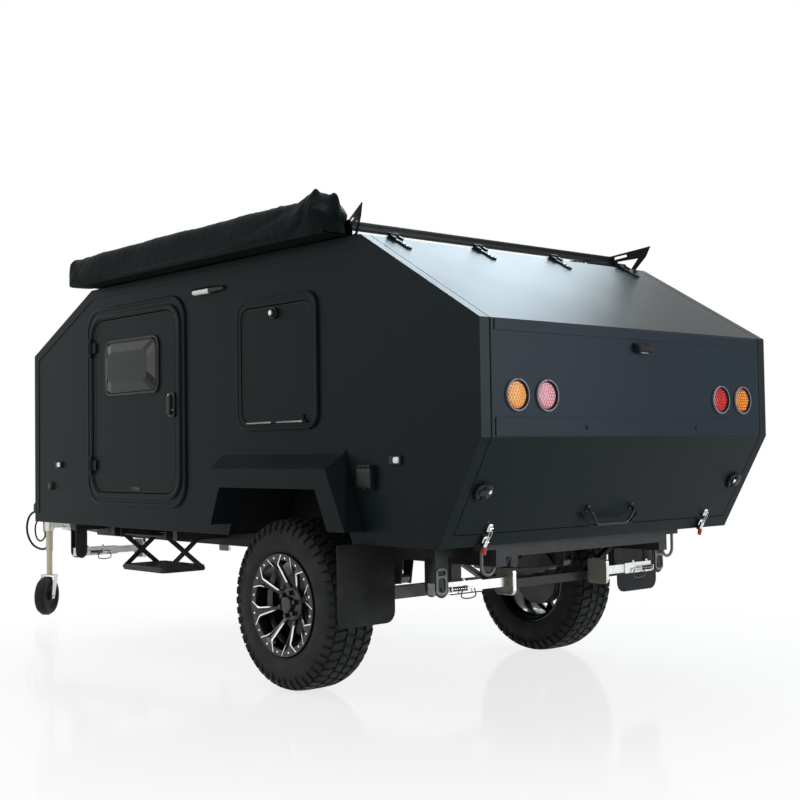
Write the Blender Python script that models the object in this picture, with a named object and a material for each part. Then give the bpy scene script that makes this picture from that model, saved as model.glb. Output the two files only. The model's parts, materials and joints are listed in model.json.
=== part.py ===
"""Off-road camper trailer, built as separate pieces in metres.

+X is forward, towards the drawbar, +Y is left and +Z is up. The origin is on the ground, under
the middle of the overall length. Every size along X is measured from the axle, and the empty
named "trailer" carries all pieces to their place.
"""

import math

import bmesh
import bpy
from mathutils import Matrix, Vector

SEAT = 0.0003  # gap between pieces that touch
MOVE = 0.005  # gap round a piece that moves
WELD = 0.00001  # points nearer than this are made one after a Boolean
BODY_HALF = 0.978  # half of the body's width, which the wheels, legs and roof bars follow

# Road wheels
WHEEL_STEPS = 24
TYRE_RADIUS = 0.400
TYRE_WIDTH = 0.265
BEAD_HALF = 0.1085  # from the tyre's middle to the outer side of each bead
BEAD_RADIUS = 0.227
WHEEL_FACE = BODY_HALF - 0.013  # from the centre line to the outer side of the tyre
TREAD_LUGS = 26
LUG_DEPTH = 0.014
LUG_STEPS = (
    # share of the pitch, side whose shoulder is raised from there on
    (0.02, -1), (0.09, 1), (0.50, 1), (0.57, -1),
)
RIM_RADIUS = 0.2385
RIM_WALL = 0.008
RIM_LIP = 0.022  # how far the outer lip stands out from the bead
RIM_FLANGE = 0.0075  # and the inner one
HUB_RADIUS = 0.062
DRUM_RADIUS = 0.150
DRUM_BACK = 0.110  # from the wheel's face to the back of the brake drum
DISH_DEPTH = 0.062  # how far the wheel's face lies inside its outer lip
SPOKE_DEPTH = 0.020
ELBOW_RADIUS = 0.185  # where the sloping spokes meet the flat ring inside the lip
SPOKES = 8
WINDOW_FORM = (
    # radius, half of the opening between two spokes there
    (0.088, 0.020), (0.107, 0.030), (0.185, 0.047), (0.203, 0.037), (0.209, 0.026),
)

# Axle, springs and chassis
AXLE_BEAM = 0.060
SPINDLE_RADIUS = 0.020
SPRING_WIDTH = 0.050
SPRING_LEAF = 0.009
SPRING_LEAVES = 4
SPRING_REACH = 0.400  # from the axle to each spring eye
SPRING_EYE = 0.022
SPRING_PIN = 0.010
SPRING_EYE_HEIGHT = 0.520
HANGER_SHEET = 0.006
RAIL_Y = 0.560
RAIL_WIDTH = 0.060
RAIL_HEIGHT = 0.100
RAIL_REAR = -1.030
RAIL_FRONT = 2.440
CROSS_WIDTH = 0.050
CROSS_HEIGHT = 0.060
STEP_BEARERS = (1.020, 1.680)
CROSS_PLACES = (RAIL_REAR + 0.025, -0.600, 0.600, *STEP_BEARERS, RAIL_FRONT - 0.025)
BEARER_WIDTH = 0.040
TUBE_PLACE = (-0.735, 0.490)  # x and z of the cross tube in front of the rear legs
TUBE_SIZE = 0.040
TUBE_STRUT_FOOT = RAIL_Y - 0.230
LOOP_RADIUS = 0.038
LOOP_BAR = 0.006
DRAWBAR_TIP = 4.200
DRAWBAR_TIP_Y = 0.060
DRAWBAR_BEND = RAIL_FRONT - 0.140
COUPLING_TIP = 4.440
COUPLING_WIDTH = 0.110
BALL_RADIUS = 0.0265
BRAKE_LEVER = 0.320
BRAKE_RISE = 0.141

# Body
OUTRIGGER_END = BODY_HALF - 0.078
TRIM_WIDTH = 0.052
TRIM_PROUD = 0.0035
WALL = 0.048
FLOOR_BOTTOM = 0.709
FRONT = 2.483
NOSE_TOP = 1.712
ROOF = 2.042
ROOF_FRONT = 1.760
RIDGE = -0.631
TAIL = -1.344
TAIL_TOP = 1.624
TAIL_BOTTOM = 1.154
TAIL_FOOT = -1.093
HATCH_FOOT = 0.762  # height of the line between the rear hatch and the sill

# Wheel arch and fender
ARCH_TOP = 0.945
ARCH_FRONT_TOP = 0.300
ARCH_REAR_TOP = -0.440
ARCH_FRONT_FOOT = 0.398
ARCH_REAR_FOOT = -0.552
ARCH_INNER = BODY_HALF - 0.348
ARCH_SHEET = 0.004
FENDER_FACE = BODY_HALF + 0.122
FENDER_FOOT = 0.765
FENDER_FACE_TOP = 1.033
FENDER_WALL_TOP = 1.105
FLAP_X = -0.575
FLAP_THICK = 0.006
FLAP_INNER = BODY_HALF - 0.209
FLAP_OUTER = FENDER_FACE - 0.010
FLAP_FOOT = 0.355
FLAP_ROUND = 0.050

# Entry doors, one on each side, and their windows
DOOR_X = 1.287
DOOR_Z = 1.3785
DOOR_LENGTH = 1.032
DOOR_HEIGHT = 1.097
DOOR_BORDER = 0.068
DOOR_ROUND = 0.130
FRAME_PROUD = 0.012
FRAME_STEP = 0.004
FRAME_INSIDE = 0.034
LEAF_PROUD = 0.008
WINDOW_X = 1.302
WINDOW_Z = 1.583
WINDOW_LENGTH = 0.570
WINDOW_HEIGHT = 0.308
WINDOW_ROUND = 0.055
WINDOW_RIM = 0.036
WINDOW_PROUD = 0.010
PANE_PROUD = 0.012
DOOR_HINGES = (DOOR_Z - 0.330, DOOR_Z + 0.330)
HANDLE_X = 0.892
HANDLE_Z = 1.360
HANDLE_LENGTH = 0.120
DOOR_PIN = 0.008

# Locker doors, behind the entry doors
LOCKER_X = -0.011
LOCKER_Z = 1.522
LOCKER_LENGTH = 0.634
LOCKER_HEIGHT = 0.625
LOCKER_BORDER = 0.040
LOCKER_ROUND = 0.075
LOCKER_PIN = 0.006
LOCK_RADIUS = 0.026

# Small fittings on the side walls, (x, z)
MARKER_LAMPS = ((2.163, 1.052), (-0.843, 1.068))
MARKER_LENGTH = 0.068
MARKER_HEIGHT = 0.034
MARKER_PROUD = 0.012
INLET_PLACE = (-0.660, 0.995)
INLET_SIZE = 0.110
INLET_PROUD = 0.030
FILLER_PLACE = (2.267, 0.927)
PORCH_X = 0.5575
PORCH_Z = 1.920
PORCH_LENGTH = 0.285
PORCH_HEIGHT = 0.060
PORCH_PROUD = 0.030

# Rear hatch fittings
HINGE_OUTER = BODY_HALF - 0.188
HINGE_INNER = HINGE_OUTER / 3
HINGE_PLACES = (-HINGE_OUTER, -HINGE_INNER, HINGE_INNER, HINGE_OUTER)
HINGE_RISE = 0.012
HINGE_PIN = 0.010
HINGE_WIDTH = 0.056
HINGE_KNUCKLE = 0.014
HINGE_REACH = 0.120
LAMP_RADIUS = 0.0725
LENS_RADIUS = 0.053
BEZEL_THICK = 0.006
LENS_PROUD = 0.014
LAMP_HEIGHT = 1.322
LAMP_OUTER_Y = BODY_HALF - 0.198
LAMP_INNER_Y = BODY_HALF - 0.374
PLATE_LAMP_WIDTH = 0.110
PLATE_LAMP_HEIGHT = 0.042
PLATE_LAMP_DEPTH = 0.034
PLATE_LAMP_Y = -0.017
PLATE_LAMP_Z = 1.540
BAND_STRIPS = (
    # foot, head
    (TAIL_BOTTOM + 0.004, TAIL_BOTTOM + 0.078), (TAIL_TOP - 0.048, TAIL_TOP - 0.006),
)
STRIP_HALF = BODY_HALF - 0.073
STRIP_PROUD = 0.004
LATCH_Y = BODY_HALF - 0.113
LATCH_LENGTH = 0.085
LATCH_Z = 0.940
GRIP_WIDTH = 0.370
GRIP_BAR = 0.006
GRIP_Z = 0.822
TOGGLE_Y = BODY_HALF - 0.233

# Roof bars and awning
BAR_PLACES = (-0.450, 0.500, 1.450)
BAR_WIDTH = 0.050
BAR_HEIGHT = 0.034
BAR_BOTTOM = ROOF + 0.054
BAR_GROOVE = 0.006
BAR_LIP = 0.011
BAR_PLATE_Y = BODY_HALF - 0.068
BAR_PLATE = 0.006
BAR_OVERHANG = 0.010
AWNING_REAR = -0.515
AWNING_FRONT = 1.750
AWNING_OUTER = BODY_HALF + 0.122
AWNING_BOTTOM = ROOF + 0.014
AWNING_TOP = AWNING_BOTTOM + 0.179
AWNING_SHEET = 0.004

# Stabiliser legs
LEG_PLACES = (-0.824, 2.380)
LEG_PIVOT_Y = BODY_HALF - 0.233
LEG_PIVOT_Z = 0.515
LEG_TUBE = 0.050
LEG_INNER_TUBE = 0.040
LEG_SLEEVE = 0.250  # outer tube inboard of the pivot
LEG_BACK = 0.030  # tube behind the pivot
LEG_REACH = 0.427  # from the pivot to the foot plate
FOOT_LENGTH = 0.115
FOOT_WIDTH = 0.120
FOOT_THICK = 0.005
FOOT_RIM = 0.014
FOOT_ROUND = 0.022
LEG_CHEEK = 0.006
LEG_CHEEK_HALF = 0.0375
LEG_PIN = 0.008
SIDE_SPACE = 0.003  # play beside a link or an eye on its pin

# Folding step under the left door
STEP_X = 1.350
STEP_LENGTH = 0.480
STEP_INNER = RAIL_Y + RAIL_WIDTH / 2 + 0.075
STEP_OUTER = STEP_INNER + 0.220
STEP_TOP_PIN = 0.665
STEP_LOW_PIN = 0.485
STEP_ARM = 0.005
STEP_ARM_WIDTH = 0.026
STEP_PIN = 0.006
TREAD_THICK = 0.030
TREAD_GROOVES = 4

# Jockey wheel
JOCKEY_X = 3.540
JOCKEY_Y = 0.368
JOCKEY_TUBE = 0.024
JOCKEY_WALL = 0.0042
JOCKEY_TUBE_FOOT = 0.440
JOCKEY_TUBE_TOP = 0.980
JOCKEY_STEM = 0.0195
JOCKEY_RADIUS = 0.133
JOCKEY_TYRE = 0.078
JOCKEY_TRAIL = 0.045
JOCKEY_PIN = 0.008
STEM_TOP = 0.760
CRANK_REACH = 0.102
CLAMP_LOW = 0.580
CLAMP_HIGH = 0.690
CLAMP_WALL = 0.009
CLAMP_REACH = 0.230
JOCKEY_TURN = math.radians(-51.6)
FORK_TOP = 0.278
FORK_SHEET = 0.006

# Leads at the drawbar: where each leaves it, and where its plug is parked
HOLDERS = (
    # place, width, foot, top
    ((4.000, 0.152), 0.030, 0.622, 0.685),
    ((4.034, 0.134), 0.036, 0.590, 0.624),
    ((4.102, 0.120), 0.030, 0.597, 0.624),
)
MAIN_LEAD = 0.016
SECOND_LEAD = 0.012
MAIN_ROUTE = (
    (4.0153, 0.152, 0.664), (4.032, 0.152, 0.664), (4.055, 0.152, 0.667), (4.090, 0.152, 0.673),
    (4.135, 0.152, 0.681),
    (4.180, 0.152, 0.686), (4.225, 0.151, 0.684), (4.268, 0.149, 0.674), (4.306, 0.147, 0.656),
    (4.338, 0.145, 0.631), (4.361, 0.143, 0.600), (4.373, 0.141, 0.565), (4.372, 0.139, 0.529),
    (4.358, 0.137, 0.496), (4.333, 0.136, 0.467), (4.300, 0.135, 0.444), (4.262, 0.134, 0.427),
    (4.221, 0.133, 0.417), (4.178, 0.133, 0.411), (4.136, 0.133, 0.409), (4.096, 0.133, 0.413),
    (4.062, 0.134, 0.424), (4.041, 0.134, 0.442), (4.034, 0.134, 0.460), (4.034, 0.134, 0.4767),
)
SECOND_ROUTE = (
    (4.0153, 0.152, 0.639), (4.032, 0.152, 0.639), (4.055, 0.152, 0.640), (4.090, 0.150, 0.640),
    (4.130, 0.147, 0.637),
    (4.170, 0.143, 0.628), (4.207, 0.139, 0.612), (4.236, 0.135, 0.589), (4.254, 0.131, 0.560),
    (4.258, 0.128, 0.529), (4.250, 0.126, 0.500), (4.229, 0.124, 0.478), (4.198, 0.123, 0.468),
    (4.165, 0.122, 0.470), (4.136, 0.121, 0.485), (4.114, 0.120, 0.503), (4.103, 0.120, 0.522),
    (4.102, 0.120, 0.5397),
)

FRONT_REACH = COUPLING_TIP
REAR_REACH = -TAIL + PLATE_LAMP_DEPTH + SEAT
AXLE_X = (REAR_REACH - FRONT_REACH) / 2


# ---------------------------------------------------------------- shapes


def clear_scene():
    for obj in list(bpy.data.objects):
        bpy.data.objects.remove(obj, do_unlink=True)


def paint(name, colour, roughness, metallic=0.0):
    material = bpy.data.materials.new(name)
    material.use_nodes = True
    shader = material.node_tree.nodes["Principled BSDF"]
    shader.inputs["Base Color"].default_value = (*colour, 1.0)
    shader.inputs["Roughness"].default_value = roughness
    shader.inputs["Metallic"].default_value = metallic
    return material


def from_bmesh(shape, name="tool"):
    bmesh.ops.recalc_face_normals(shape, faces=shape.faces)
    mesh = bpy.data.meshes.new(name)
    shape.to_mesh(mesh)
    shape.free()
    obj = bpy.data.objects.new(name, mesh)
    bpy.context.scene.collection.objects.link(obj)
    return obj


def prism(outline, axis, low, high):
    """The outline, drawn in the other two axes in X, Y, Z order, extruded along axis."""
    place = {
        "X": lambda a, b, c: (c, a, b),
        "Y": lambda a, b, c: (a, c, b),
        "Z": lambda a, b, c: (a, b, c),
    }[axis]
    return loft([[place(a, b, level) for a, b in outline] for level in (low, high)])


def box(low, high):
    (x0, y0, z0), (x1, y1, z1) = low, high
    return prism(((x0, y0), (x1, y0), (x1, y1), (x0, y1)), "Z", z0, z1)


def loft(sections):
    """A closed solid through sections of equally many points, flat at both ends."""
    shape = bmesh.new()
    rings = [[shape.verts.new(point) for point in section] for section in sections]
    count = len(rings[0])
    shape.faces.new(rings[0])
    shape.faces.new(rings[-1])
    for ring, following in zip(rings, rings[1:]):
        for k in range(count):
            ahead = (k + 1) % count
            shape.faces.new((ring[k], ring[ahead], following[ahead], following[k]))
    return from_bmesh(shape)


def revolved(sections, centre, axis):
    """A closed ring through (turn, profile) sections about an axis, each profile as (radius, along)."""
    frame = Vector((0, 0, 1)).rotation_difference(Vector(axis)).to_matrix()
    shape = bmesh.new()
    rings = []
    for turn, profile in sections:
        ring = []
        for radius, along in profile:
            local = Vector((radius * math.cos(turn), radius * math.sin(turn), along))
            ring.append(shape.verts.new(frame @ local + Vector(centre)))
        rings.append(ring)
    for ring, following in zip(rings, [*rings[1:], rings[0]]):
        for p in range(len(ring)):
            ahead = (p + 1) % len(ring)
            shape.faces.new((ring[p], ring[ahead], following[ahead], following[p]))
    return from_bmesh(shape)


def turned(profile, centre, axis, steps):
    """One closed profile carried right round the axis."""
    return revolved([(2 * math.pi * k / steps, profile) for k in range(steps)], centre, axis)


def stacked(rings, centre, axis, steps=12):
    """A round solid through (radius, along) rings about an axis through centre, flat at both ends."""
    frame = Vector((0, 0, 1)).rotation_difference(Vector(axis)).to_matrix()
    sections = []
    for radius, along in rings:
        section = []
        for k in range(steps):
            turn = 2 * math.pi * (k + 0.5) / steps
            local = Vector((radius * math.cos(turn), radius * math.sin(turn), along))
            section.append(frame @ local + Vector(centre))
        sections.append(section)
    return loft(sections)


def rod(start, end, radius, steps=12):
    """A round bar between two points."""
    span = Vector(end) - Vector(start)
    return stacked(((radius, 0), (radius, span.length)), start, span, steps)


def bent_bar(points, radius, steps=8):
    """A round bar through points that lie in one plane, mitred at each bend."""
    points = [Vector(point) for point in points]
    span = (points[1] - points[0]).cross(points[-1] - points[1])
    flat = span.normalized() if span.length > 1e-9 else Vector((1, 0, 0))
    sections = []
    for k, point in enumerate(points):
        before = (point - points[k - 1]).normalized() if k else None
        after = (points[k + 1] - point).normalized() if k < len(points) - 1 else None
        along = (before + after).normalized() if before and after else (before or after)
        widen = 1 / max(along.dot(before or after), 0.3)
        across = flat.cross(along).normalized() * widen
        ring = []
        for s in range(steps):
            angle = 2 * math.pi * s / steps
            ring.append(point + radius * (math.cos(angle) * across + math.sin(angle) * flat))
        sections.append(ring)
    return loft(sections)


def rounded(length, height, radius, centre=(0.0, 0.0), steps=3):
    """The outline of a rectangle with round corners."""
    points = []
    for sx, sz, start in ((1, 1, 0), (-1, 1, 90), (-1, -1, 180), (1, -1, 270)):
        corner = (centre[0] + sx * (length / 2 - radius), centre[1] + sz * (height / 2 - radius))
        points += arc(corner, radius, start, start + 90, steps)
    return points


def arc(centre, radius, start, end, steps):
    """Points on an arc, with angles in degrees."""
    angles = [math.radians(start + (end - start) * k / steps) for k in range(steps + 1)]
    return [(centre[0] + radius * math.cos(a), centre[1] + radius * math.sin(a)) for a in angles]


def combine(target, tool, operation):
    modifier = target.modifiers.new(operation, "BOOLEAN")
    modifier.operation = operation
    modifier.object = tool
    graph = bpy.context.evaluated_depsgraph_get()
    mesh = bpy.data.meshes.new_from_object(target.evaluated_get(graph))
    target.modifiers.clear()
    target.data = mesh
    bpy.data.objects.remove(tool, do_unlink=True)
    # Points that rounding has split are joined again
    shape = bmesh.new()
    shape.from_mesh(mesh)
    bmesh.ops.remove_doubles(shape, verts=shape.verts, dist=WELD)
    bmesh.ops.dissolve_degenerate(shape, edges=shape.edges, dist=WELD)
    shape.to_mesh(mesh)
    shape.free()
    return target


def fuse(target, *tools):
    for tool in tools:
        combine(target, tool, "UNION")
    return target


def cut(target, *tools):
    for tool in tools:
        combine(target, tool, "DIFFERENCE")
    return target


def moved(obj, matrix):
    obj.data.transform(matrix)
    if matrix.determinant() < 0:
        obj.data.flip_normals()
    return obj


def sided(side, near, far):
    """The low and high Y of a span that lies near to far from the centre line, on one side."""
    return sorted((side * near, side * far))


def piece(obj, name, material, parent, pivot=(0.0, 0.0, 0.0), smooth=None):
    """Names a solid, gives it its material, and puts its origin on its joint's axis."""
    obj.name = name
    obj.data.name = name
    obj.data.materials.clear()
    obj.data.materials.append(material)
    obj.data.transform(Matrix.Translation(-Vector(pivot)))
    obj.location = pivot
    obj.parent = parent
    if smooth:
        obj.data.shade_smooth()
        obj.data.set_sharp_from_angle(angle=math.radians(smooth))
    return obj


# ---------------------------------------------------------------- body outline

# Corners of the body seen from the side, (x, z), starting at the bottom of the tail
BODY = (
    (TAIL_FOOT, FLOOR_BOTTOM),
    (FRONT, FLOOR_BOTTOM),
    (FRONT, NOSE_TOP),
    (ROOF_FRONT, ROOF),
    (RIDGE, ROOF),
    (TAIL, TAIL_TOP),
    (TAIL, TAIL_BOTTOM),
)
FLOOR_EDGE, FRONT_EDGE, NOSE_EDGE, ROOF_EDGE, SLOPE_EDGE, BAND_EDGE, LOWER_EDGE = range(7)
PANEL_HALF = BODY_HALF - WALL - SEAT
HATCH_HALF = BODY_HALF - WALL - MOVE


def edge(k):
    """Start, direction and outward normal of the k-th edge of the body's outline."""
    start, end = Vector(BODY[k]), Vector(BODY[(k + 1) % len(BODY)])
    along = (end - start).normalized()
    return start, along, Vector((along.y, -along.x))


def inset_corner(k, depth):
    """Corner k of the body's outline moved in by depth from both its edges."""
    _, _, out_before = edge(k - 1)
    _, _, out_after = edge(k)
    mitre = (out_before + out_after).normalized()
    return Vector(BODY[k]) - mitre * (depth / mitre.dot(out_after))


def panel_outline(k, gap_start, gap_end):
    """Section of the panel on edge k, mitred to its neighbours."""
    _, along, _ = edge(k)
    ahead = (k + 1) % len(BODY)
    start, end = along * gap_start, along * gap_end
    return [
        Vector(BODY[k]) + start,
        Vector(BODY[ahead]) - end,
        inset_corner(ahead, WALL) - end,
        inset_corner(k, WALL) + start,
    ]


def on_edge(k, height):
    """The point of edge k at this height, as a distance from the edge's start."""
    start, along, _ = edge(k)
    return (height - start.y) / along.y


def laid_on(k, distance, y, obj):
    """Moves a fitting drawn as (along the edge, +Y, outward) to its place on edge k."""
    start, along, out = edge(k)
    point = start + along * distance
    matrix = Matrix(
        (
            (along.x, 0, out.x, point.x),
            (0, 1, 0, y),
            (along.y, 0, out.y, point.y),
            (0, 0, 0, 1),
        )
    )
    return moved(obj, matrix)


# ---------------------------------------------------------------- wheels and axle


def tyre_section(bead, raised):
    """Closed section of a tyre, as (radius, along), with a lug on the raised side's shoulder."""
    half = TYRE_WIDTH / 2
    walls = []
    for side in (1, -1):
        depth = 0.0 if side == raised else LUG_DEPTH
        walls.append(
            [
                (RIM_RADIUS + 0.002, side * BEAD_HALF),
                (BEAD_RADIUS + 0.030, side * (half - 0.009)),
                (BEAD_RADIUS + 0.085, side * half),
                (TYRE_RADIUS - 0.055, side * (half - 0.002 - depth / 3)),
                (TYRE_RADIUS - 0.012 - depth, side * (half - 0.010 - depth)),
                (TYRE_RADIUS - depth, side * (half - 0.040 - depth / 2)),
            ]
        )
    return [(bead, -BEAD_HALF), (bead, BEAD_HALF), *walls[0], *reversed(walls[1])]


def tyre(side, parent, material):
    """Carcass with tread lugs that alternate between the two shoulders, out to the tips of the tread."""
    pitch = 2 * math.pi / TREAD_LUGS
    shares = [share for share, _ in LUG_STEPS]
    widest = pitch * max(after - before for before, after in zip(shares, [*shares[1:], 1 + shares[0]]))
    bead = BEAD_RADIUS / math.cos(widest / 2)
    sections = []
    for lug in range(TREAD_LUGS):
        for share, raised in LUG_STEPS:
            sections.append(((lug + share) * pitch, tyre_section(bead, raised)))
    centre = (0, side * (WHEEL_FACE - TYRE_WIDTH / 2), TYRE_RADIUS)
    obj = revolved(sections, centre, (0, side, 0))
    name = "tyre_left" if side > 0 else "tyre_right"
    piece(obj, name, material, parent, centre, smooth=35)


def spoke_window(turn, centre, low, high):
    """One bullet-shaped opening between two spokes, narrow at the hub and widest at the spokes' elbow."""
    edges = [(radius, half) for radius, half in WINDOW_FORM]
    outline = []
    for radius, across in [*edges, *[(radius, -half) for radius, half in reversed(edges)]]:
        x = radius * math.cos(turn) - across * math.sin(turn)
        z = radius * math.sin(turn) + across * math.cos(turn)
        outline.append((x + centre[0], z + centre[2]))
    return prism(outline, "Y", low, high)


def rim(side, parent, material):
    """Deep dished wheel: barrel, concave face with eight split spokes, centre cap and brake drum."""
    lip = BEAD_HALF + SEAT + RIM_LIP
    floor = BEAD_RADIUS - SEAT
    inner = floor - RIM_WALL
    face = lip - DISH_DEPTH
    centre = (0, side * (WHEEL_FACE - TYRE_WIDTH / 2), TYRE_RADIUS)
    bore = SPINDLE_RADIUS + SEAT
    dish = [
        (bore, face - SPOKE_DEPTH - 0.010),
        (bore, face + 0.014),
        (HUB_RADIUS, face + 0.014),
        (HUB_RADIUS + 0.014, face + 0.004),
        (HUB_RADIUS + 0.045, face + 0.017),
        (ELBOW_RADIUS, lip - 0.003),
        (inner + RIM_WALL / 2, lip - 0.003),
        (inner + RIM_WALL / 2, lip - 0.003 - SPOKE_DEPTH),
        (ELBOW_RADIUS + 0.006, lip - 0.003 - SPOKE_DEPTH),
        (HUB_RADIUS + 0.050, face - SPOKE_DEPTH),
    ]
    obj = turned(dish, centre, (0, side, 0), WHEEL_STEPS)
    low, high = sorted((centre[1] + side * (face - 0.060), centre[1] + side * (lip + 0.010)))
    for k in range(SPOKES):
        cut(obj, spoke_window(2 * math.pi * (k + 0.5) / SPOKES, centre, low, high))
    back = BEAD_HALF + SEAT + RIM_FLANGE
    barrel = [
        (inner, -back),
        (inner, lip),
        (RIM_RADIUS, lip),
        (RIM_RADIUS, BEAD_HALF + SEAT),
        (floor, BEAD_HALF + SEAT),
        (floor, -BEAD_HALF - SEAT),
        (RIM_RADIUS, -BEAD_HALF - SEAT),
        (RIM_RADIUS, -back),
    ]
    drum = [
        (bore, face - DRUM_BACK),
        (bore, face - SPOKE_DEPTH),
        (HUB_RADIUS, face - SPOKE_DEPTH + 0.004),
        (HUB_RADIUS, face - 0.040),
        (DRUM_RADIUS, face - 0.046),
        (DRUM_RADIUS, face - DRUM_BACK),
    ]
    cap_rings = ((0.036, face + 0.008), (0.036, face + 0.032), (0.028, face + 0.040))
    cap = stacked(cap_rings, centre, (0, side, 0), 16)
    fuse(obj, turned(barrel, centre, (0, side, 0), WHEEL_STEPS), cap)
    fuse(obj, turned(drum, centre, (0, side, 0), WHEEL_STEPS))
    name = "rim_left" if side > 0 else "rim_right"
    piece(obj, name, material, parent, centre, smooth=35)


def axle(parent, material):
    """Square beam with a spindle and a brake back plate at each end."""
    face = WHEEL_FACE - TYRE_WIDTH / 2 + BEAD_HALF + SEAT + RIM_LIP - DISH_DEPTH
    plate_outer = face - DRUM_BACK - MOVE
    end = plate_outer - 0.010
    low = TYRE_RADIUS - AXLE_BEAM / 2
    obj = box((-AXLE_BEAM / 2, -end, low), (AXLE_BEAM / 2, end, low + AXLE_BEAM))
    for side in (-1, 1):
        centre, out = (0, 0, TYRE_RADIUS), (0, side, 0)
        plate = stacked(((DRUM_RADIUS, end - 0.001), (DRUM_RADIUS, plate_outer)), centre, out, 16)
        spindle = stacked(((SPINDLE_RADIUS, end), (SPINDLE_RADIUS, face - 0.002)), centre, out, 16)
        fuse(obj, plate, spindle)
    piece(obj, "axle_beam", material, parent, smooth=35)


def leaf_spring(side, parent, material):
    """Leaves that rest on the beam, the longest one rolled into an eye at each end."""
    seat_z = TYRE_RADIUS + AXLE_BEAM / 2 + SEAT
    eye_z = SPRING_EYE_HEIGHT
    low, high = sided(side, RAIL_Y - SPRING_WIDTH / 2, RAIL_Y + SPRING_WIDTH / 2)
    rise = eye_z - SPRING_EYE - seat_z - SPRING_LEAVES * SPRING_LEAF + SPRING_LEAF
    bow = (SPRING_REACH**2 + rise**2) / (2 * rise)
    obj = None
    for leaf in range(SPRING_LEAVES):
        reach = SPRING_REACH * (0.40 + 0.60 * leaf / (SPRING_LEAVES - 1))
        under = seat_z + leaf * SPRING_LEAF
        drop = 0.0005 if leaf else 0.0
        half_turn = math.degrees(math.asin(reach / bow))
        centre = (0, under + bow)
        lower = arc(centre, bow + drop, 270 - half_turn, 270 + half_turn, 8)
        upper = arc(centre, bow - SPRING_LEAF, 270 + half_turn, 270 - half_turn, 8)
        strip = prism(lower + upper, "Y", low, high)
        obj = fuse(obj, strip) if obj else strip
    for end in (-1, 1):
        x = end * SPRING_REACH
        fuse(obj, rod((x, low, eye_z), (x, high, eye_z), SPRING_EYE, 12))
        bore = SPRING_PIN / math.cos(math.pi / 12) + SEAT
        cut(obj, rod((x, low - 0.01, eye_z), (x, high + 0.01, eye_z), bore))
    name = "leaf_spring_left" if side > 0 else "leaf_spring_right"
    piece(obj, name, material, parent, smooth=35)


# ---------------------------------------------------------------- chassis


def rail_between(start, end, width, low, high):
    """A straight bar of rectangular section whose centre line runs between two (x, y) points."""
    start, end = Vector(start), Vector(end)
    across = (end - start).normalized().orthogonal() * width / 2
    return prism((start - across, end - across, end + across, start + across), "Z", low, high)


def leg_mount(x, side):
    """Arm under the floor with a round-ended cheek on each side of a stabiliser leg, and the leg's pin."""
    top = FLOOR_BOTTOM - SEAT
    arm_low = top - CROSS_HEIGHT
    inner = LEG_TUBE / 2 + SIDE_SPACE
    outer = inner + LEG_CHEEK
    near, far = sided(side, RAIL_Y, LEG_PIVOT_Y + LEG_CHEEK_HALF)
    obj = box((x - outer, near, arm_low), (x + outer, far, top))
    y = side * LEG_PIVOT_Y
    cheek = [
        (y + LEG_CHEEK_HALF, arm_low + 0.002),
        (y - LEG_CHEEK_HALF, arm_low + 0.002),
        *arc((y, LEG_PIVOT_Z), LEG_CHEEK_HALF, 180, 360, 6),
    ]
    for end in (-1, 1):
        near, far = sorted((x + end * inner, x + end * outer))
        fuse(obj, prism(cheek, "X", near, far))
    return fuse(obj, rod((x - outer - 0.006, y, LEG_PIVOT_Z), (x + outer + 0.006, y, LEG_PIVOT_Z), LEG_PIN))


def spring_hanger(x, side):
    """Two cheeks below the rail and the pin through a spring's eye."""
    rail_low = FLOOR_BOTTOM - SEAT - RAIL_HEIGHT
    y = side * RAIL_Y
    inner = SPRING_WIDTH / 2 + SIDE_SPACE
    reach = inner + HANGER_SHEET + 0.006
    pin = rod((x, y - reach, SPRING_EYE_HEIGHT), (x, y + reach, SPRING_EYE_HEIGHT), SPRING_PIN)
    outline = (
        (x - 0.045, rail_low + 0.030),
        (x - 0.020, SPRING_EYE_HEIGHT - 0.024),
        (x + 0.020, SPRING_EYE_HEIGHT - 0.024),
        (x + 0.045, rail_low + 0.030),
    )
    for end in (-1, 1):
        near, far = sorted((y + end * inner, y + end * (inner + HANGER_SHEET)))
        fuse(pin, prism(outline, "Y", near, far))
    return pin


def cross_tube():
    """Tube under the rails in front of the rear legs, on two drop plates and two struts."""
    low = FLOOR_BOTTOM - SEAT - RAIL_HEIGHT
    half = TUBE_SIZE / 2
    x, z = TUBE_PLACE
    tube = box((x - half, -RAIL_Y, z - half), (x + half, RAIL_Y, z + half))
    for side in (-1, 1):
        near, far = sided(side, RAIL_Y - RAIL_WIDTH / 2, RAIL_Y + RAIL_WIDTH / 2)
        fuse(tube, box((x - half, near, z - half), (x + half, far, low + 0.010)))
        top, foot = side * (RAIL_Y - 0.020), side * TUBE_STRUT_FOOT
        root = low + 0.004
        strut = [(top, root), (top - side * TUBE_SIZE, root), (foot - side * TUBE_SIZE, z), (foot, z)]
        fuse(tube, prism(strut, "X", x - half + 0.004, x + half - 0.004))
    return tube


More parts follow.
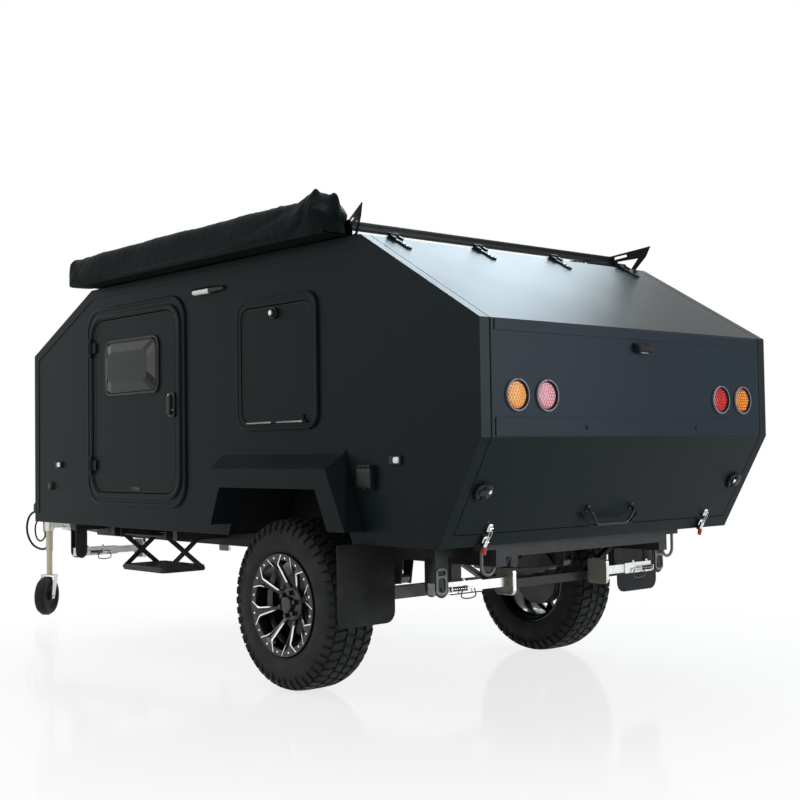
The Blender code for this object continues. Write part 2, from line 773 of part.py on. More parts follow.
def chassis(parent, material):
    """Ladder frame, drawbar, spring hangers, leg mounts and recovery loops in one weldment."""
    top = FLOOR_BOTTOM - SEAT
    low = top - RAIL_HEIGHT
    cross_low = top - CROSS_HEIGHT
    obj = box((RAIL_REAR, RAIL_Y - RAIL_WIDTH / 2, low), (RAIL_FRONT, RAIL_Y + RAIL_WIDTH / 2, top))
    fuse(obj, box((RAIL_REAR, -RAIL_Y - RAIL_WIDTH / 2, low), (RAIL_FRONT, -RAIL_Y + RAIL_WIDTH / 2, top)))
    for x in CROSS_PLACES:
        fuse(obj, box((x - CROSS_WIDTH / 2, -RAIL_Y, cross_low), (x + CROSS_WIDTH / 2, RAIL_Y, top)))
    for side in (-1, 1):
        bend = (DRAWBAR_BEND, side * (RAIL_Y - 0.020))
        tip = (DRAWBAR_TIP, side * DRAWBAR_TIP_Y)
        fuse(obj, rail_between(bend, tip, RAIL_WIDTH, low, top))
        for x in STEP_BEARERS:
            near, far = sided(side, RAIL_Y, OUTRIGGER_END)
            fuse(obj, box((x - BEARER_WIDTH / 2, near, cross_low), (x + BEARER_WIDTH / 2, far, top)))
        for x in (-SPRING_REACH, SPRING_REACH):
            fuse(obj, spring_hanger(x, side))
        for x in LEG_PLACES:
            fuse(obj, leg_mount(x, side))
        fuse(obj, recovery_loop(side))
    fuse(obj, box((DRAWBAR_TIP - 0.160, -0.090, low), (DRAWBAR_TIP, 0.090, top)))
    fuse(obj, cross_tube())
    for place, width, foot, head in HOLDERS:
        fuse(obj, cable_holder(place, width, foot, head))
    piece(obj, "chassis_frame", material, parent, smooth=35)


def recovery_loop(side):
    """Bent round bar welded under the rear crossmember, open below."""
    x, y, z = RAIL_REAR + 0.020, side * (RAIL_Y + 0.060), FLOOR_BOTTOM - 0.094
    foot = FLOOR_BOTTOM - SEAT - 0.020
    bend = arc((y, z), LOOP_RADIUS, 180, 360, 6)
    path = [(x, y - LOOP_RADIUS, foot), *[(x, py, pz) for py, pz in bend], (x, y + LOOP_RADIUS, foot)]
    near, far = sided(side, RAIL_Y, RAIL_Y + 0.120)
    plate = box((x - 0.020, near, foot - 0.006), (x + 0.020, far, FLOOR_BOTTOM - SEAT))
    return fuse(bent_bar(path, LOOP_BAR, 6), plate)


def drawbar_y(x):
    """Middle of the left drawbar rail at this x."""
    start = RAIL_Y - 0.020
    return start + (DRAWBAR_TIP_Y - start) * (x - DRAWBAR_BEND) / (DRAWBAR_TIP - DRAWBAR_BEND)


def drawbar_side(x):
    """Outer face of the left drawbar rail at this x."""
    slope = math.atan2(RAIL_Y - 0.020 - DRAWBAR_TIP_Y, DRAWBAR_TIP - DRAWBAR_BEND)
    return drawbar_y(x) + RAIL_WIDTH / 2 / math.cos(slope)


def cable_holder(place, width, foot, head):
    """Block beside the drawbar that a lead leaves, or that a plug is parked below."""
    x, y = place
    half = width / 2
    return box((x - half, drawbar_y(x), foot), (x + half, y + half, head))


def jockey_clamp(parent, material):
    """Ring and swivel plate that hold the jockey wheel's tube beside the left drawbar rail, with its pin."""
    x, y = JOCKEY_X, JOCKEY_Y
    low, high = CLAMP_LOW, CLAMP_HIGH
    ring = rod((x, y, low), (x, y, high), JOCKEY_TUBE + CLAMP_WALL, 20)
    back, front = x - CLAMP_REACH, x + JOCKEY_TUBE
    slope = (drawbar_side(x) - drawbar_side(back)) / CLAMP_REACH
    plate = []
    for px, offset in ((back, SEAT), (front, SEAT), (front, 0.012), (back, 0.012)):
        plate.append((px, drawbar_side(x) + slope * (px - x) + offset))
    fuse(ring, prism(plate, "Z", low + 0.005, high - 0.005))
    fuse(ring, box((x - 0.022, drawbar_side(x) + 0.008, low + 0.020), (x + 0.014, y, high - 0.010)))
    pin_x, pin_z = back + 0.036, (low + high) / 2
    pin_y = drawbar_side(pin_x)
    fuse(ring, stacked(((0.016, 0.006), (0.016, 0.026), (0.010, 0.030), (0.010, 0.046)),
                       (pin_x, pin_y, pin_z), (0, 1, 0), 10))
    cut(ring, rod((x, y, low - 0.02), (x, y, high + 0.02), (JOCKEY_TUBE + SEAT) / math.cos(math.pi / 20), 20))
    piece(ring, "jockey_clamp", material, parent, smooth=35)


def coupling(parent, material):
    """Ball head on the drawbar tip, with its latch lever and the parking brake lever behind it."""
    low = FLOOR_BOTTOM
    back = DRAWBAR_TIP - 0.150
    section = (
        (back, low),
        (COUPLING_TIP - 0.120, low),
        (COUPLING_TIP - 0.110, low - 0.040),
        (COUPLING_TIP, low - 0.040),
        (COUPLING_TIP, low + 0.020),
        (COUPLING_TIP - 0.040, low + 0.050),
        (COUPLING_TIP - 0.150, low + 0.055),
        (back, low + 0.030),
    )
    obj = prism(section, "Y", -COUPLING_WIDTH / 2, COUPLING_WIDTH / 2)
    ball_x = COUPLING_TIP - 0.055
    cut(obj, rod((ball_x, 0, low - 0.060), (ball_x, 0, low + 0.012), BALL_RADIUS + SEAT, 20))
    latch = (
        (COUPLING_TIP - 0.130, low + 0.045),
        (COUPLING_TIP - 0.050, low + 0.045),
        (COUPLING_TIP - 0.070, low + 0.085),
        (COUPLING_TIP - 0.190, low + 0.105),
        (COUPLING_TIP - 0.190, low + 0.092),
        (COUPLING_TIP - 0.100, low + 0.070),
    )
    foot = box((back + 0.020, -0.012, low + 0.020), (back + 0.080, 0.012, low + 0.075))
    start = Vector((back + 0.050, 0, low + 0.060))
    along = Vector((-1, 0, BRAKE_RISE)).normalized()
    lever = rod(start, start + along * BRAKE_LEVER, 0.009, 10)
    grip = rod(start + along * (BRAKE_LEVER - 0.120), start + along * (BRAKE_LEVER + 0.010), 0.015, 10)
    fuse(obj, prism(latch, "Y", -0.016, 0.016), foot, lever, grip)
    piece(obj, "drawbar_coupling", material, parent, smooth=35)


# ---------------------------------------------------------------- stabiliser legs


def stabiliser_leg(x, side, name, parent, material):
    """Square tube with its inner tube partly out, folded in under the floor, with a dished foot."""
    half, slim = LEG_TUBE / 2, LEG_INNER_TUBE / 2
    foot_y = LEG_PIVOT_Y - LEG_REACH
    middle = (x, LEG_PIVOT_Z)
    low, high = sided(side, LEG_PIVOT_Y - LEG_SLEEVE, LEG_PIVOT_Y + LEG_BACK)
    obj = box((x - half, low, LEG_PIVOT_Z - half), (x + half, high, LEG_PIVOT_Z + half))
    low, high = sided(side, foot_y, LEG_PIVOT_Y - LEG_SLEEVE + 0.010)
    fuse(obj, box((x - slim, low, LEG_PIVOT_Z - slim), (x + slim, high, LEG_PIVOT_Z + slim)))
    tray = prism(rounded(FOOT_LENGTH, FOOT_WIDTH, FOOT_ROUND, middle), "Y",
                 *sided(side, foot_y - FOOT_THICK, foot_y + FOOT_RIM))
    inside = (FOOT_LENGTH - 2 * FOOT_THICK, FOOT_WIDTH - 2 * FOOT_THICK)
    hollow = rounded(*inside, FOOT_ROUND - FOOT_THICK, middle)
    cut(tray, prism(hollow, "Y", *sided(side, foot_y + 0.001, foot_y + FOOT_RIM + 0.01)))
    fuse(obj, tray)
    y = side * LEG_PIVOT_Y
    cut(obj, rod((x - half - 0.01, y, LEG_PIVOT_Z), (x + half + 0.01, y, LEG_PIVOT_Z), LEG_PIN + SEAT))
    piece(obj, name, material, parent, (x, y, LEG_PIVOT_Z), smooth=35)


# ---------------------------------------------------------------- folding step

STEP_CHEEK_X = STEP_LENGTH / 2  # outer face of the frame's cheeks, from the step's middle
ARM_OUTER_X = STEP_CHEEK_X - STEP_ARM - SIDE_SPACE
ARM_INNER_X = ARM_OUTER_X - STEP_ARM - SIDE_SPACE
TREAD_END_X = ARM_INNER_X - STEP_ARM - SIDE_SPACE
STEP_MIDDLE = ((STEP_OUTER + STEP_INNER) / 2, (STEP_TOP_PIN + STEP_LOW_PIN) / 2)


def step_plate(offset, outline):
    """A flat plate at both ends of the step, whose outer face lies offset from the middle."""
    plates = []
    for end in (-1, 1):
        near, far = sorted((STEP_X + end * (offset - STEP_ARM), STEP_X + end * offset))
        plates.append(prism(outline, "X", near, far))
    return plates


def step_bar(y, z, reach, radius=STEP_PIN):
    return rod((STEP_X - reach, y, z), (STEP_X + reach, y, z), radius, 12)


def slanted(start, end, width):
    """Outline, in (y, z), of a flat arm with its pins at start and end."""
    start, end = Vector(start), Vector(end)
    along = (end - start).normalized()
    across = along.orthogonal() * width / 2
    reach = along * width / 2
    return [start - reach * 0.4 - across, start - reach - across * 0.4, start - reach + across * 0.4,
            start - reach * 0.4 + across, end + reach * 0.4 + across, end + reach + across * 0.4,
            end + reach - across * 0.4, end + reach * 0.4 - across]


def step_frame(parent, material):
    """Plate and two cheeks that hang between the outriggers and carry the folding step."""
    top = FLOOR_BOTTOM - SEAT
    low = STEP_TOP_PIN - 0.018
    inner = STEP_INNER - 0.065
    outer = STEP_OUTER + 0.015
    outline = ((inner, top), (inner, low), (inner + 0.040, low - 0.004), (outer, low), (outer, top))
    rear, front = (x + end * (BEARER_WIDTH / 2 + SEAT) for x, end in zip(STEP_BEARERS, (1, -1)))
    plate = box((rear, inner, top - 0.010), (front, outer, top))
    fuse(plate, *step_plate(STEP_CHEEK_X, outline))
    for end in (-1, 1):
        inner_x, outer_x = STEP_CHEEK_X - STEP_ARM - 0.001, STEP_CHEEK_X + 0.01
        near, far = sorted((STEP_X + end * inner_x, STEP_X + end * outer_x))
        cut(plate, rod((near, STEP_OUTER, STEP_TOP_PIN), (far, STEP_OUTER, STEP_TOP_PIN), STEP_PIN + SEAT))
    piece(plate, "step_frame", material, parent)


def step(parent, material):
    """Scissor arms and the ribbed tread that they carry, half let down."""
    top_pin, low_pin = (STEP_OUTER, STEP_TOP_PIN), (STEP_INNER, STEP_LOW_PIN)
    outer = step_bar(*top_pin, ARM_OUTER_X + SIDE_SPACE + STEP_ARM * 0.8)
    fuse(outer, *step_plate(ARM_OUTER_X, slanted(top_pin, low_pin, STEP_ARM_WIDTH)))
    for end in (-1, 1):
        near, far = STEP_X + end * (ARM_OUTER_X - 0.001), STEP_X + end * (ARM_INNER_X - STEP_ARM + 0.001)
        fuse(outer, rod((near, *STEP_MIDDLE), (far, *STEP_MIDDLE), STEP_PIN))
    piece(outer, "step_arms_outer", material, parent, (STEP_X, *top_pin), smooth=35)

    top_pin, low_pin = (STEP_INNER, STEP_TOP_PIN), (STEP_OUTER, STEP_LOW_PIN)
    inner = step_bar(*top_pin, ARM_INNER_X - 0.001)
    fuse(inner, *step_plate(ARM_INNER_X, slanted(top_pin, low_pin, STEP_ARM_WIDTH)))
    for end in (-1, 1):
        near, far = STEP_X + end * (ARM_INNER_X - 0.001), STEP_X + end * (TREAD_END_X - 0.012)
        fuse(inner, rod((near, *low_pin), (far, *low_pin), STEP_PIN))
    for end in (-1, 1):
        near, far = STEP_X + end * (ARM_OUTER_X + 0.02), STEP_X + end * (TREAD_END_X - 0.001)
        cut(inner, rod((near, *STEP_MIDDLE), (far, *STEP_MIDDLE), STEP_PIN + SEAT))
    piece(inner, "step_arms_inner", material, parent, (STEP_X, *STEP_MIDDLE), smooth=35)

    low, high = STEP_LOW_PIN - TREAD_THICK / 2, STEP_LOW_PIN + TREAD_THICK / 2
    near_y, far_y = STEP_INNER - 0.030, STEP_OUTER + 0.020
    outline = rounded(2 * TREAD_END_X, far_y - near_y, 0.024, (STEP_X, (near_y + far_y) / 2), 3)
    tread = prism(outline, "Z", low, high)
    pitch = (far_y - near_y) / (TREAD_GROOVES + 1)
    for k in range(TREAD_GROOVES):
        y = near_y + pitch * (k + 1)
        reach = TREAD_END_X - 0.040
        cut(tread, box((STEP_X - reach, y - 0.006, high - 0.004), (STEP_X + reach, y + 0.006, high + 0.01)))
    for end in (-1, 1):
        near, far = STEP_X + end * (TREAD_END_X + 0.01), STEP_X + end * (TREAD_END_X - 0.014)
        cut(tread, rod((near, *low_pin), (far, *low_pin), STEP_PIN + SEAT))
    piece(tread, "step_tread", material, parent, (STEP_X, *low_pin), smooth=35)


# ---------------------------------------------------------------- jockey wheel


def jockey(parent, zinc, rubber):
    """Screw jack tube with its crank, stem, castor fork and wheel."""
    x, y, top = JOCKEY_X, JOCKEY_Y, JOCKEY_TUBE_TOP
    bore = JOCKEY_TUBE - JOCKEY_WALL
    profile = [
        (0.004, top),
        (0.004, top - 0.020),
        (bore, top - 0.020),
        (bore, JOCKEY_TUBE_FOOT),
        (JOCKEY_TUBE, JOCKEY_TUBE_FOOT),
        (JOCKEY_TUBE, top),
    ]
    tube = turned(profile, (x, y, 0), (0, 0, 1), 20)
    arm = top + 0.021
    crank = rod((x, y, top - 0.010), (x, y, top + 0.030), 0.012, 10)
    handle = x - CRANK_REACH
    fuse(tube, crank, rod((x - 0.002, y, arm), (handle - 0.006, y, arm), 0.007, 8))
    fuse(tube, stacked(((0.009, 0), (0.014, 0.012), (0.014, 0.080), (0.009, 0.091)),
                       (handle, y, arm - 0.012), (0, 0, 1), 10))
    piece(tube, "jockey_tube", zinc, parent, smooth=35)

    stem = rod((x, y, FORK_TOP + SEAT), (x, y, STEM_TOP), JOCKEY_STEM, 20)
    piece(stem, "jockey_stem", zinc, parent, (x, y, FORK_TOP), smooth=35)

    # The fork is drawn trailing along -X, then turned about the stem
    turn = Matrix.Translation((x, y, 0)) @ Matrix.Rotation(JOCKEY_TURN, 4, "Z")
    inner = JOCKEY_TYRE / 2 + MOVE
    outer = inner + FORK_SHEET
    crown = prism(rounded(0.090, 2 * outer, 0.020, (-0.010, 0)), "Z", FORK_TOP - FORK_SHEET, FORK_TOP)
    cheek = (
        (-0.045, FORK_TOP - 0.003),
        (-JOCKEY_TRAIL - 0.022, JOCKEY_RADIUS),
        (-JOCKEY_TRAIL - 0.014, JOCKEY_RADIUS - 0.020),
        (-JOCKEY_TRAIL + 0.014, JOCKEY_RADIUS - 0.020),
        (-JOCKEY_TRAIL + 0.022, JOCKEY_RADIUS),
        (0.030, FORK_TOP - 0.003),
    )
    for end in (-1, 1):
        fuse(crown, prism(cheek, "Y", *sorted((end * inner, end * outer))))
    hub = Vector((-JOCKEY_TRAIL, 0, JOCKEY_RADIUS))
    reach = Vector((0, outer + 0.008, 0))
    fuse(crown, rod(hub - reach, hub + reach, JOCKEY_PIN))
    moved(crown, turn)
    piece(crown, "jockey_fork", zinc, parent, (x, y, FORK_TOP), smooth=35)

    half = JOCKEY_TYRE / 2
    flank = [
        # radius, distance in from the tyre's side
        (JOCKEY_PIN / math.cos(math.pi / 20) + SEAT, 0.004),
        (0.030, 0.004),
        (0.030, 0.020),
        (JOCKEY_RADIUS - 0.045, 0.016),
        (JOCKEY_RADIUS - 0.034, 0.002),
        (JOCKEY_RADIUS - 0.014, 0.003),
        (JOCKEY_RADIUS, 0.024),
    ]
    profile = [(radius, inset - half) for radius, inset in flank]
    profile += [(radius, half - inset) for radius, inset in reversed(flank)]
    wheel = turned(profile, hub, (0, 1, 0), 20)
    moved(wheel, turn)
    piece(wheel, "jockey_wheel", rubber, parent, turn @ hub, smooth=35)


# ---------------------------------------------------------------- leads


def lead(route, diameter, name, material, parent):
    """A cable as a bevelled curve through hand-placed points."""
    curve = bpy.data.curves.new(name, "CURVE")
    curve.dimensions = "3D"
    curve.bevel_depth = diameter / 2
    curve.bevel_resolution = 2
    curve.use_fill_caps = True
    spline = curve.splines.new("POLY")
    spline.points.add(len(route) - 1)
    for point, place in zip(spline.points, route):
        point.co = (*place, 1)
    curve.materials.append(material)
    obj = bpy.data.objects.new(name, curve)
    obj.parent = parent
    bpy.context.scene.collection.objects.link(obj)


def leads(parent, sheath, red):
    """Both leads and their parked plugs."""
    lead(MAIN_ROUTE, MAIN_LEAD, "main_lead", sheath, parent)
    lead(SECOND_ROUTE, SECOND_LEAD, "second_lead", sheath, parent)
    x, y, low = MAIN_ROUTE[-1]
    plug = rod((x, y, low + SEAT), (x, y, low + 0.040), 0.014, 16)
    fuse(plug, box((x - 0.024, y - 0.020, low + 0.035), (x + 0.024, y + 0.020, HOLDERS[1][2] - SEAT)))
    piece(plug, "main_plug", sheath, parent, smooth=35)
    x, y, low = SECOND_ROUTE[-1]
    connector = box((x - 0.018, y - 0.013, low + SEAT), (x + 0.018, y + 0.013, HOLDERS[2][2] - SEAT))
    piece(connector, "red_connector", red, parent)


# ---------------------------------------------------------------- body


def arch(z_low=FLOOR_BOTTOM - 0.05, grow=0.0):
    """Outline of the wheel arch, (x, z), its sides carried on below the floor."""
    def foot(top_x, foot_x):
        slope = (foot_x - top_x) / (FLOOR_BOTTOM - ARCH_TOP)
        return top_x + slope * (z_low - ARCH_TOP)

    return (
        (foot(ARCH_FRONT_TOP, ARCH_FRONT_FOOT) + grow, z_low),
        (ARCH_FRONT_TOP + grow, ARCH_TOP + grow),
        (ARCH_REAR_TOP - grow, ARCH_TOP + grow),
        (foot(ARCH_REAR_TOP, ARCH_REAR_FOOT) - grow, z_low),
    )


def door_opening(grow=0.0):
    wider = 2 * (grow - DOOR_BORDER)
    length, height = DOOR_LENGTH + wider, DOOR_HEIGHT + wider
    return rounded(length, height, DOOR_ROUND - DOOR_BORDER + 0.045 + grow, (DOOR_X, DOOR_Z))


def locker_opening(grow=0.0):
    wider = 2 * (grow - LOCKER_BORDER)
    length, height = LOCKER_LENGTH + wider, LOCKER_HEIGHT + wider
    return rounded(length, height, LOCKER_ROUND - LOCKER_BORDER + 0.020 + grow, (LOCKER_X, LOCKER_Z))


def side_wall(side, parent, material):
    """Flat side panel with its corner profile and marker lamps, and on the left inlet and filler."""
    low, high = sided(side, BODY_HALF - WALL, BODY_HALF)
    obj = prism(BODY, "Y", low, high)
    inside = [inset_corner(k, TRIM_WIDTH) for k in range(len(BODY))]
    fuse(obj, ring(BODY, inside, side, BODY_HALF - 0.002, BODY_HALF + TRIM_PROUD))
    for outline in (door_opening(), locker_opening(), arch()):
        cut(obj, prism(outline, "Y", low - 0.02, high + 0.02))
    lamp = rounded(MARKER_LENGTH, MARKER_HEIGHT, 0.008, steps=2)
    near, far = sided(side, BODY_HALF - 0.002, BODY_HALF + MARKER_PROUD)
    for x, z in MARKER_LAMPS:
        fuse(obj, prism([(x + a, z + b) for a, b in lamp], "Y", near, far))
    if side > 0:
        x, z = INLET_PLACE
        half = INLET_SIZE / 2
        flap = rounded(INLET_SIZE, INLET_SIZE, 0.014, INLET_PLACE, 2)
        fuse(obj, prism(flap, "Y", BODY_HALF - 0.002, BODY_HALF + 0.020))
        fuse(obj, box((x - half + 0.010, BODY_HALF + 0.010, z + half - 0.034),
                      (x + half - 0.010, BODY_HALF + INLET_PROUD, z + half - 0.008)))
        x, z = FILLER_PLACE
        fuse(obj, rod((x, BODY_HALF - 0.002, z), (x, BODY_HALF + 0.010, z), 0.020, 14))
    name = "side_wall_left" if side > 0 else "side_wall_right"
    piece(obj, name, material, parent, smooth=35)


def cabin_floor(parent, material):
    """Floor panel with a sheet wheel box over each wheel."""
    obj = prism(panel_outline(FLOOR_EDGE, SEAT / 2, SEAT / 2), "Y", -PANEL_HALF, PANEL_HALF)
    for side in (-1, 1):
        span = sided(side, ARCH_INNER - ARCH_SHEET, PANEL_HALF)
        fuse(obj, prism(arch(FLOOR_BOTTOM, ARCH_SHEET), "Y", *span))
        cut(obj, prism(arch(), "Y", *sided(side, ARCH_INNER, PANEL_HALF + 0.05)))
    piece(obj, "cabin_floor", material, parent, smooth=35)


def panels(parent, material):
    """Front wall, front slope and roof, each mitred to its neighbours, and the sill below the rear hatch."""
    for name, k in (("front_wall", FRONT_EDGE), ("front_slope", NOSE_EDGE)):
        obj = prism(panel_outline(k, SEAT / 2, SEAT / 2), "Y", -PANEL_HALF, PANEL_HALF)
        piece(obj, name, material, parent)

    roof = prism(panel_outline(ROOF_EDGE, SEAT / 2, MOVE / 2), "Y", -PANEL_HALF, PANEL_HALF)
    for y in HINGE_PLACES:
        fuse(roof, hinge_leaf(y))
    piece(roof, "roof_panel", material, parent, smooth=35)

    start, along, out = edge(LOWER_EDGE)
    split = start + along * (on_edge(LOWER_EDGE, HATCH_FOOT) + MOVE / 2)
    foot = along * SEAT / 2
    outline = [split, Vector(BODY[0]) - foot, inset_corner(0, WALL) - foot, split - out * WALL]
    sill = prism(outline, "Y", -PANEL_HALF, PANEL_HALF)
    for side in (-1, 1):
        fuse(sill, *toggle(side))
    piece(sill, "rear_sill", material, parent, smooth=35)


def hinge_leaf(y):
    """Fixed half of a hatch hinge: a leaf on the roof and the middle knuckle."""
    middle = HINGE_WIDTH / 2 - HINGE_KNUCKLE - SEAT
    leaf = box((RIDGE + 0.006, y - middle, ROOF - 0.001), (RIDGE + 0.060, y + middle, ROOF + 0.010))
    pin_z = ROOF + HINGE_RISE
    return fuse(leaf, rod((RIDGE, y - middle, pin_z), (RIDGE, y + middle, pin_z), HINGE_PIN, 10))


def hinge_strap(y):
    """Moving half: two outer knuckles and the tapered strap that lies down the slope."""
    inner, outer = HINGE_WIDTH / 2 - HINGE_KNUCKLE, HINGE_WIDTH / 2
    pin_z = ROOF + HINGE_RISE
    knuckles = []
    for end in (-1, 1):
        near, far = sorted((y + end * inner, y + end * outer))
        arm = box((-0.004, -0.007, 0.003), (0.034, 0.007, 0.015))
        knuckles.append(rod((RIDGE, near, pin_z), (RIDGE, far, pin_z), HINGE_PIN, 10))
        knuckles.append(laid_on(SLOPE_EDGE, 0.0, (near + far) / 2, arm))
    strap = (
        (0.024, -outer), (0.044, -outer), (0.056, -0.013), (HINGE_REACH - 0.006, -0.011),
        (HINGE_REACH, -0.005), (HINGE_REACH, 0.005), (HINGE_REACH - 0.006, 0.011), (0.056, 0.013),
        (0.044, outer), (0.024, outer),
    )
    return [*knuckles, laid_on(SLOPE_EDGE, 0.0, y, prism(strap, "Z", -0.002, 0.007))]


def toggle(side):
    """Base and lever of a toggle latch on the sill."""
    split = on_edge(LOWER_EDGE, HATCH_FOOT)
    y = side * TOGGLE_Y
    base = box((0.008, -0.016, -0.002), (0.050, 0.016, 0.010))
    lever = box((0.020, -0.009, 0.006), (0.060, 0.009, 0.018))
    return [laid_on(LOWER_EDGE, split, y, base), laid_on(LOWER_EDGE, split, y, lever)]


def rear_hatch(parent, material):
    """Slope, tail band and lower tail in one clamshell, with its hinges, latches and grab handle."""
    slope = panel_outline(SLOPE_EDGE, MOVE / 2, 0)
    start, along, out = edge(LOWER_EDGE)
    end = start + along * (on_edge(LOWER_EDGE, HATCH_FOOT) - MOVE / 2)
    outside = [Vector(BODY[5]), Vector(BODY[6]), end]
    inside = [end - out * WALL, inset_corner(6, WALL), inset_corner(5, WALL)]
    obj = prism([slope[0], *outside, *inside, slope[3]], "Y", -HATCH_HALF, HATCH_HALF)
    for low, high in BAND_STRIPS:
        face, root = TAIL - STRIP_PROUD, TAIL + 0.002
        strip = [(root, low), (face, low + STRIP_PROUD), (face, high - STRIP_PROUD), (root, high)]
        fuse(obj, prism(strip, "Y", -STRIP_HALF, STRIP_HALF))
    for y in HINGE_PLACES:
        fuse(obj, *hinge_strap(y))
    for side in (-1, 1):
        body = prism(rounded(LATCH_LENGTH, 0.060, 0.020, steps=3), "Z", -0.002, 0.012)
        grip = prism(rounded(LATCH_LENGTH - 0.020, 0.024, 0.010, steps=2), "Z", 0.010, 0.022)
        for part in (body, grip):
            fuse(obj, laid_on(LOWER_EDGE, on_edge(LOWER_EDGE, LATCH_Z), side * LATCH_Y, part))
        catch = box((-0.035, -0.012, -0.002), (-0.008, 0.012, 0.010))
        fuse(obj, laid_on(LOWER_EDGE, on_edge(LOWER_EDGE, HATCH_FOOT), side * TOGGLE_Y, catch))
    half = GRIP_WIDTH / 2
    path = []
    for end in (-1, 1):
        leg = [(-0.002, end * half, -0.002), (0.012, end * (half - 0.004), 0.022)]
        path += [*leg, (0.045, end * (half - 0.045), 0.034)][::-end]
    fuse(obj, laid_on(LOWER_EDGE, on_edge(LOWER_EDGE, GRIP_Z), 0.0, bent_bar(path, GRIP_BAR)))
    piece(obj, "rear_hatch", material, parent, (RIDGE, 0, ROOF + HINGE_RISE), smooth=35)


def tail_lamps(parent, red, amber):
    """Round lamps with domed lenses in flanged bezels, seated on the tail band."""
    rings = (
        (LAMP_RADIUS, 0),
        (LAMP_RADIUS, BEZEL_THICK - 0.002),
        (LAMP_RADIUS - 0.004, BEZEL_THICK),
        (LENS_RADIUS + 0.004, BEZEL_THICK),
        (LENS_RADIUS, LENS_PROUD - 0.004),
        (LENS_RADIUS - 0.012, LENS_PROUD),
    )
    for place, y, lens in (("outer", LAMP_OUTER_Y, amber), ("inner", LAMP_INNER_Y, red)):
        for tag, side in (("left", 1), ("right", -1)):
            obj = stacked(rings, (TAIL - SEAT, side * y, LAMP_HEIGHT), (-1, 0, 0), 20)
            piece(obj, f"lamp_{place}_{tag}", lens, parent, smooth=35)


def plate_lamp(parent, material):
    """Housing over the number plate's place, its lens facing down."""
    x, z = TAIL - SEAT, PLATE_LAMP_Z
    high, low = z + PLATE_LAMP_HEIGHT / 2, z - PLATE_LAMP_HEIGHT / 2
    lip = x - PLATE_LAMP_DEPTH
    section = ((x, low), (x, high), (x - 0.010, high), (lip, low + 0.016), (lip, low))
    half = PLATE_LAMP_WIDTH / 2
    piece(prism(section, "Y", PLATE_LAMP_Y - half, PLATE_LAMP_Y + half), "plate_lamp", material, parent)


def fender(side, parent, material):
    """Flared skirt round the arch: a sloped top and ends run out from the wall to a flat face."""
    near, far = side * (BODY_HALF + SEAT), side * FENDER_FACE
    front, rear = ARCH_FRONT_FOOT, ARCH_REAR_FOOT
    top_front, top_rear = ARCH_FRONT_TOP, ARCH_REAR_TOP - 0.071
    wall = (
        (front + 0.102, FENDER_FOOT), (top_front + 0.134, FENDER_WALL_TOP),
        (top_rear, FENDER_WALL_TOP), (rear - 0.093, FENDER_FOOT),
    )
    face = (
        (front + 0.062, FENDER_FOOT), (top_front + 0.072, FENDER_FACE_TOP),
        (top_rear, FENDER_FACE_TOP), (rear - 0.091, FENDER_FOOT),
    )
    obj = loft([[(x, near, z) for x, z in wall], [(x, far, z) for x, z in face]])
    low, high = sided(side, BODY_HALF + SEAT, BODY_HALF + 0.010)
    lip = box((top_rear, low, FENDER_WALL_TOP - 0.010), (top_front + 0.134, high, FENDER_WALL_TOP + 0.006))
    fuse(obj, lip)
    cut(obj, prism(arch(), "Y", *sided(side, BODY_HALF - 0.05, FENDER_FACE + 0.05)))
    name = "fender_left" if side > 0 else "fender_right"
    piece(obj, name, material, parent)


def mudflap(side, parent, material):
    """Rubber sheet behind the wheel, hung from the bottom of the wall."""
    width = FLAP_OUTER - FLAP_INNER
    top = FLOOR_BOTTOM - SEAT
    middle = side * (FLAP_OUTER + FLAP_INNER) / 2
    low, high = middle - width / 2, middle + width / 2
    outline = [
        (low, top),
        *arc((low + FLAP_ROUND, FLAP_FOOT + FLAP_ROUND), FLAP_ROUND, 180, 270, 4),
        *arc((high - FLAP_ROUND, FLAP_FOOT + FLAP_ROUND), FLAP_ROUND, 270, 360, 4),
        (high, top),
    ]
    obj = prism(outline, "X", FLAP_X - FLAP_THICK, FLAP_X)
    name = "mudflap_left" if side > 0 else "mudflap_right"
    piece(obj, name, material, parent)


def ring(outer, inner, side, near, far):
    """A flat frame between two outlines, from near to far out of the centre line."""
    obj = prism(outer, "Y", *sided(side, near, far))
    return cut(obj, prism(inner, "Y", *sided(side, near - 0.02, far + 0.02)))


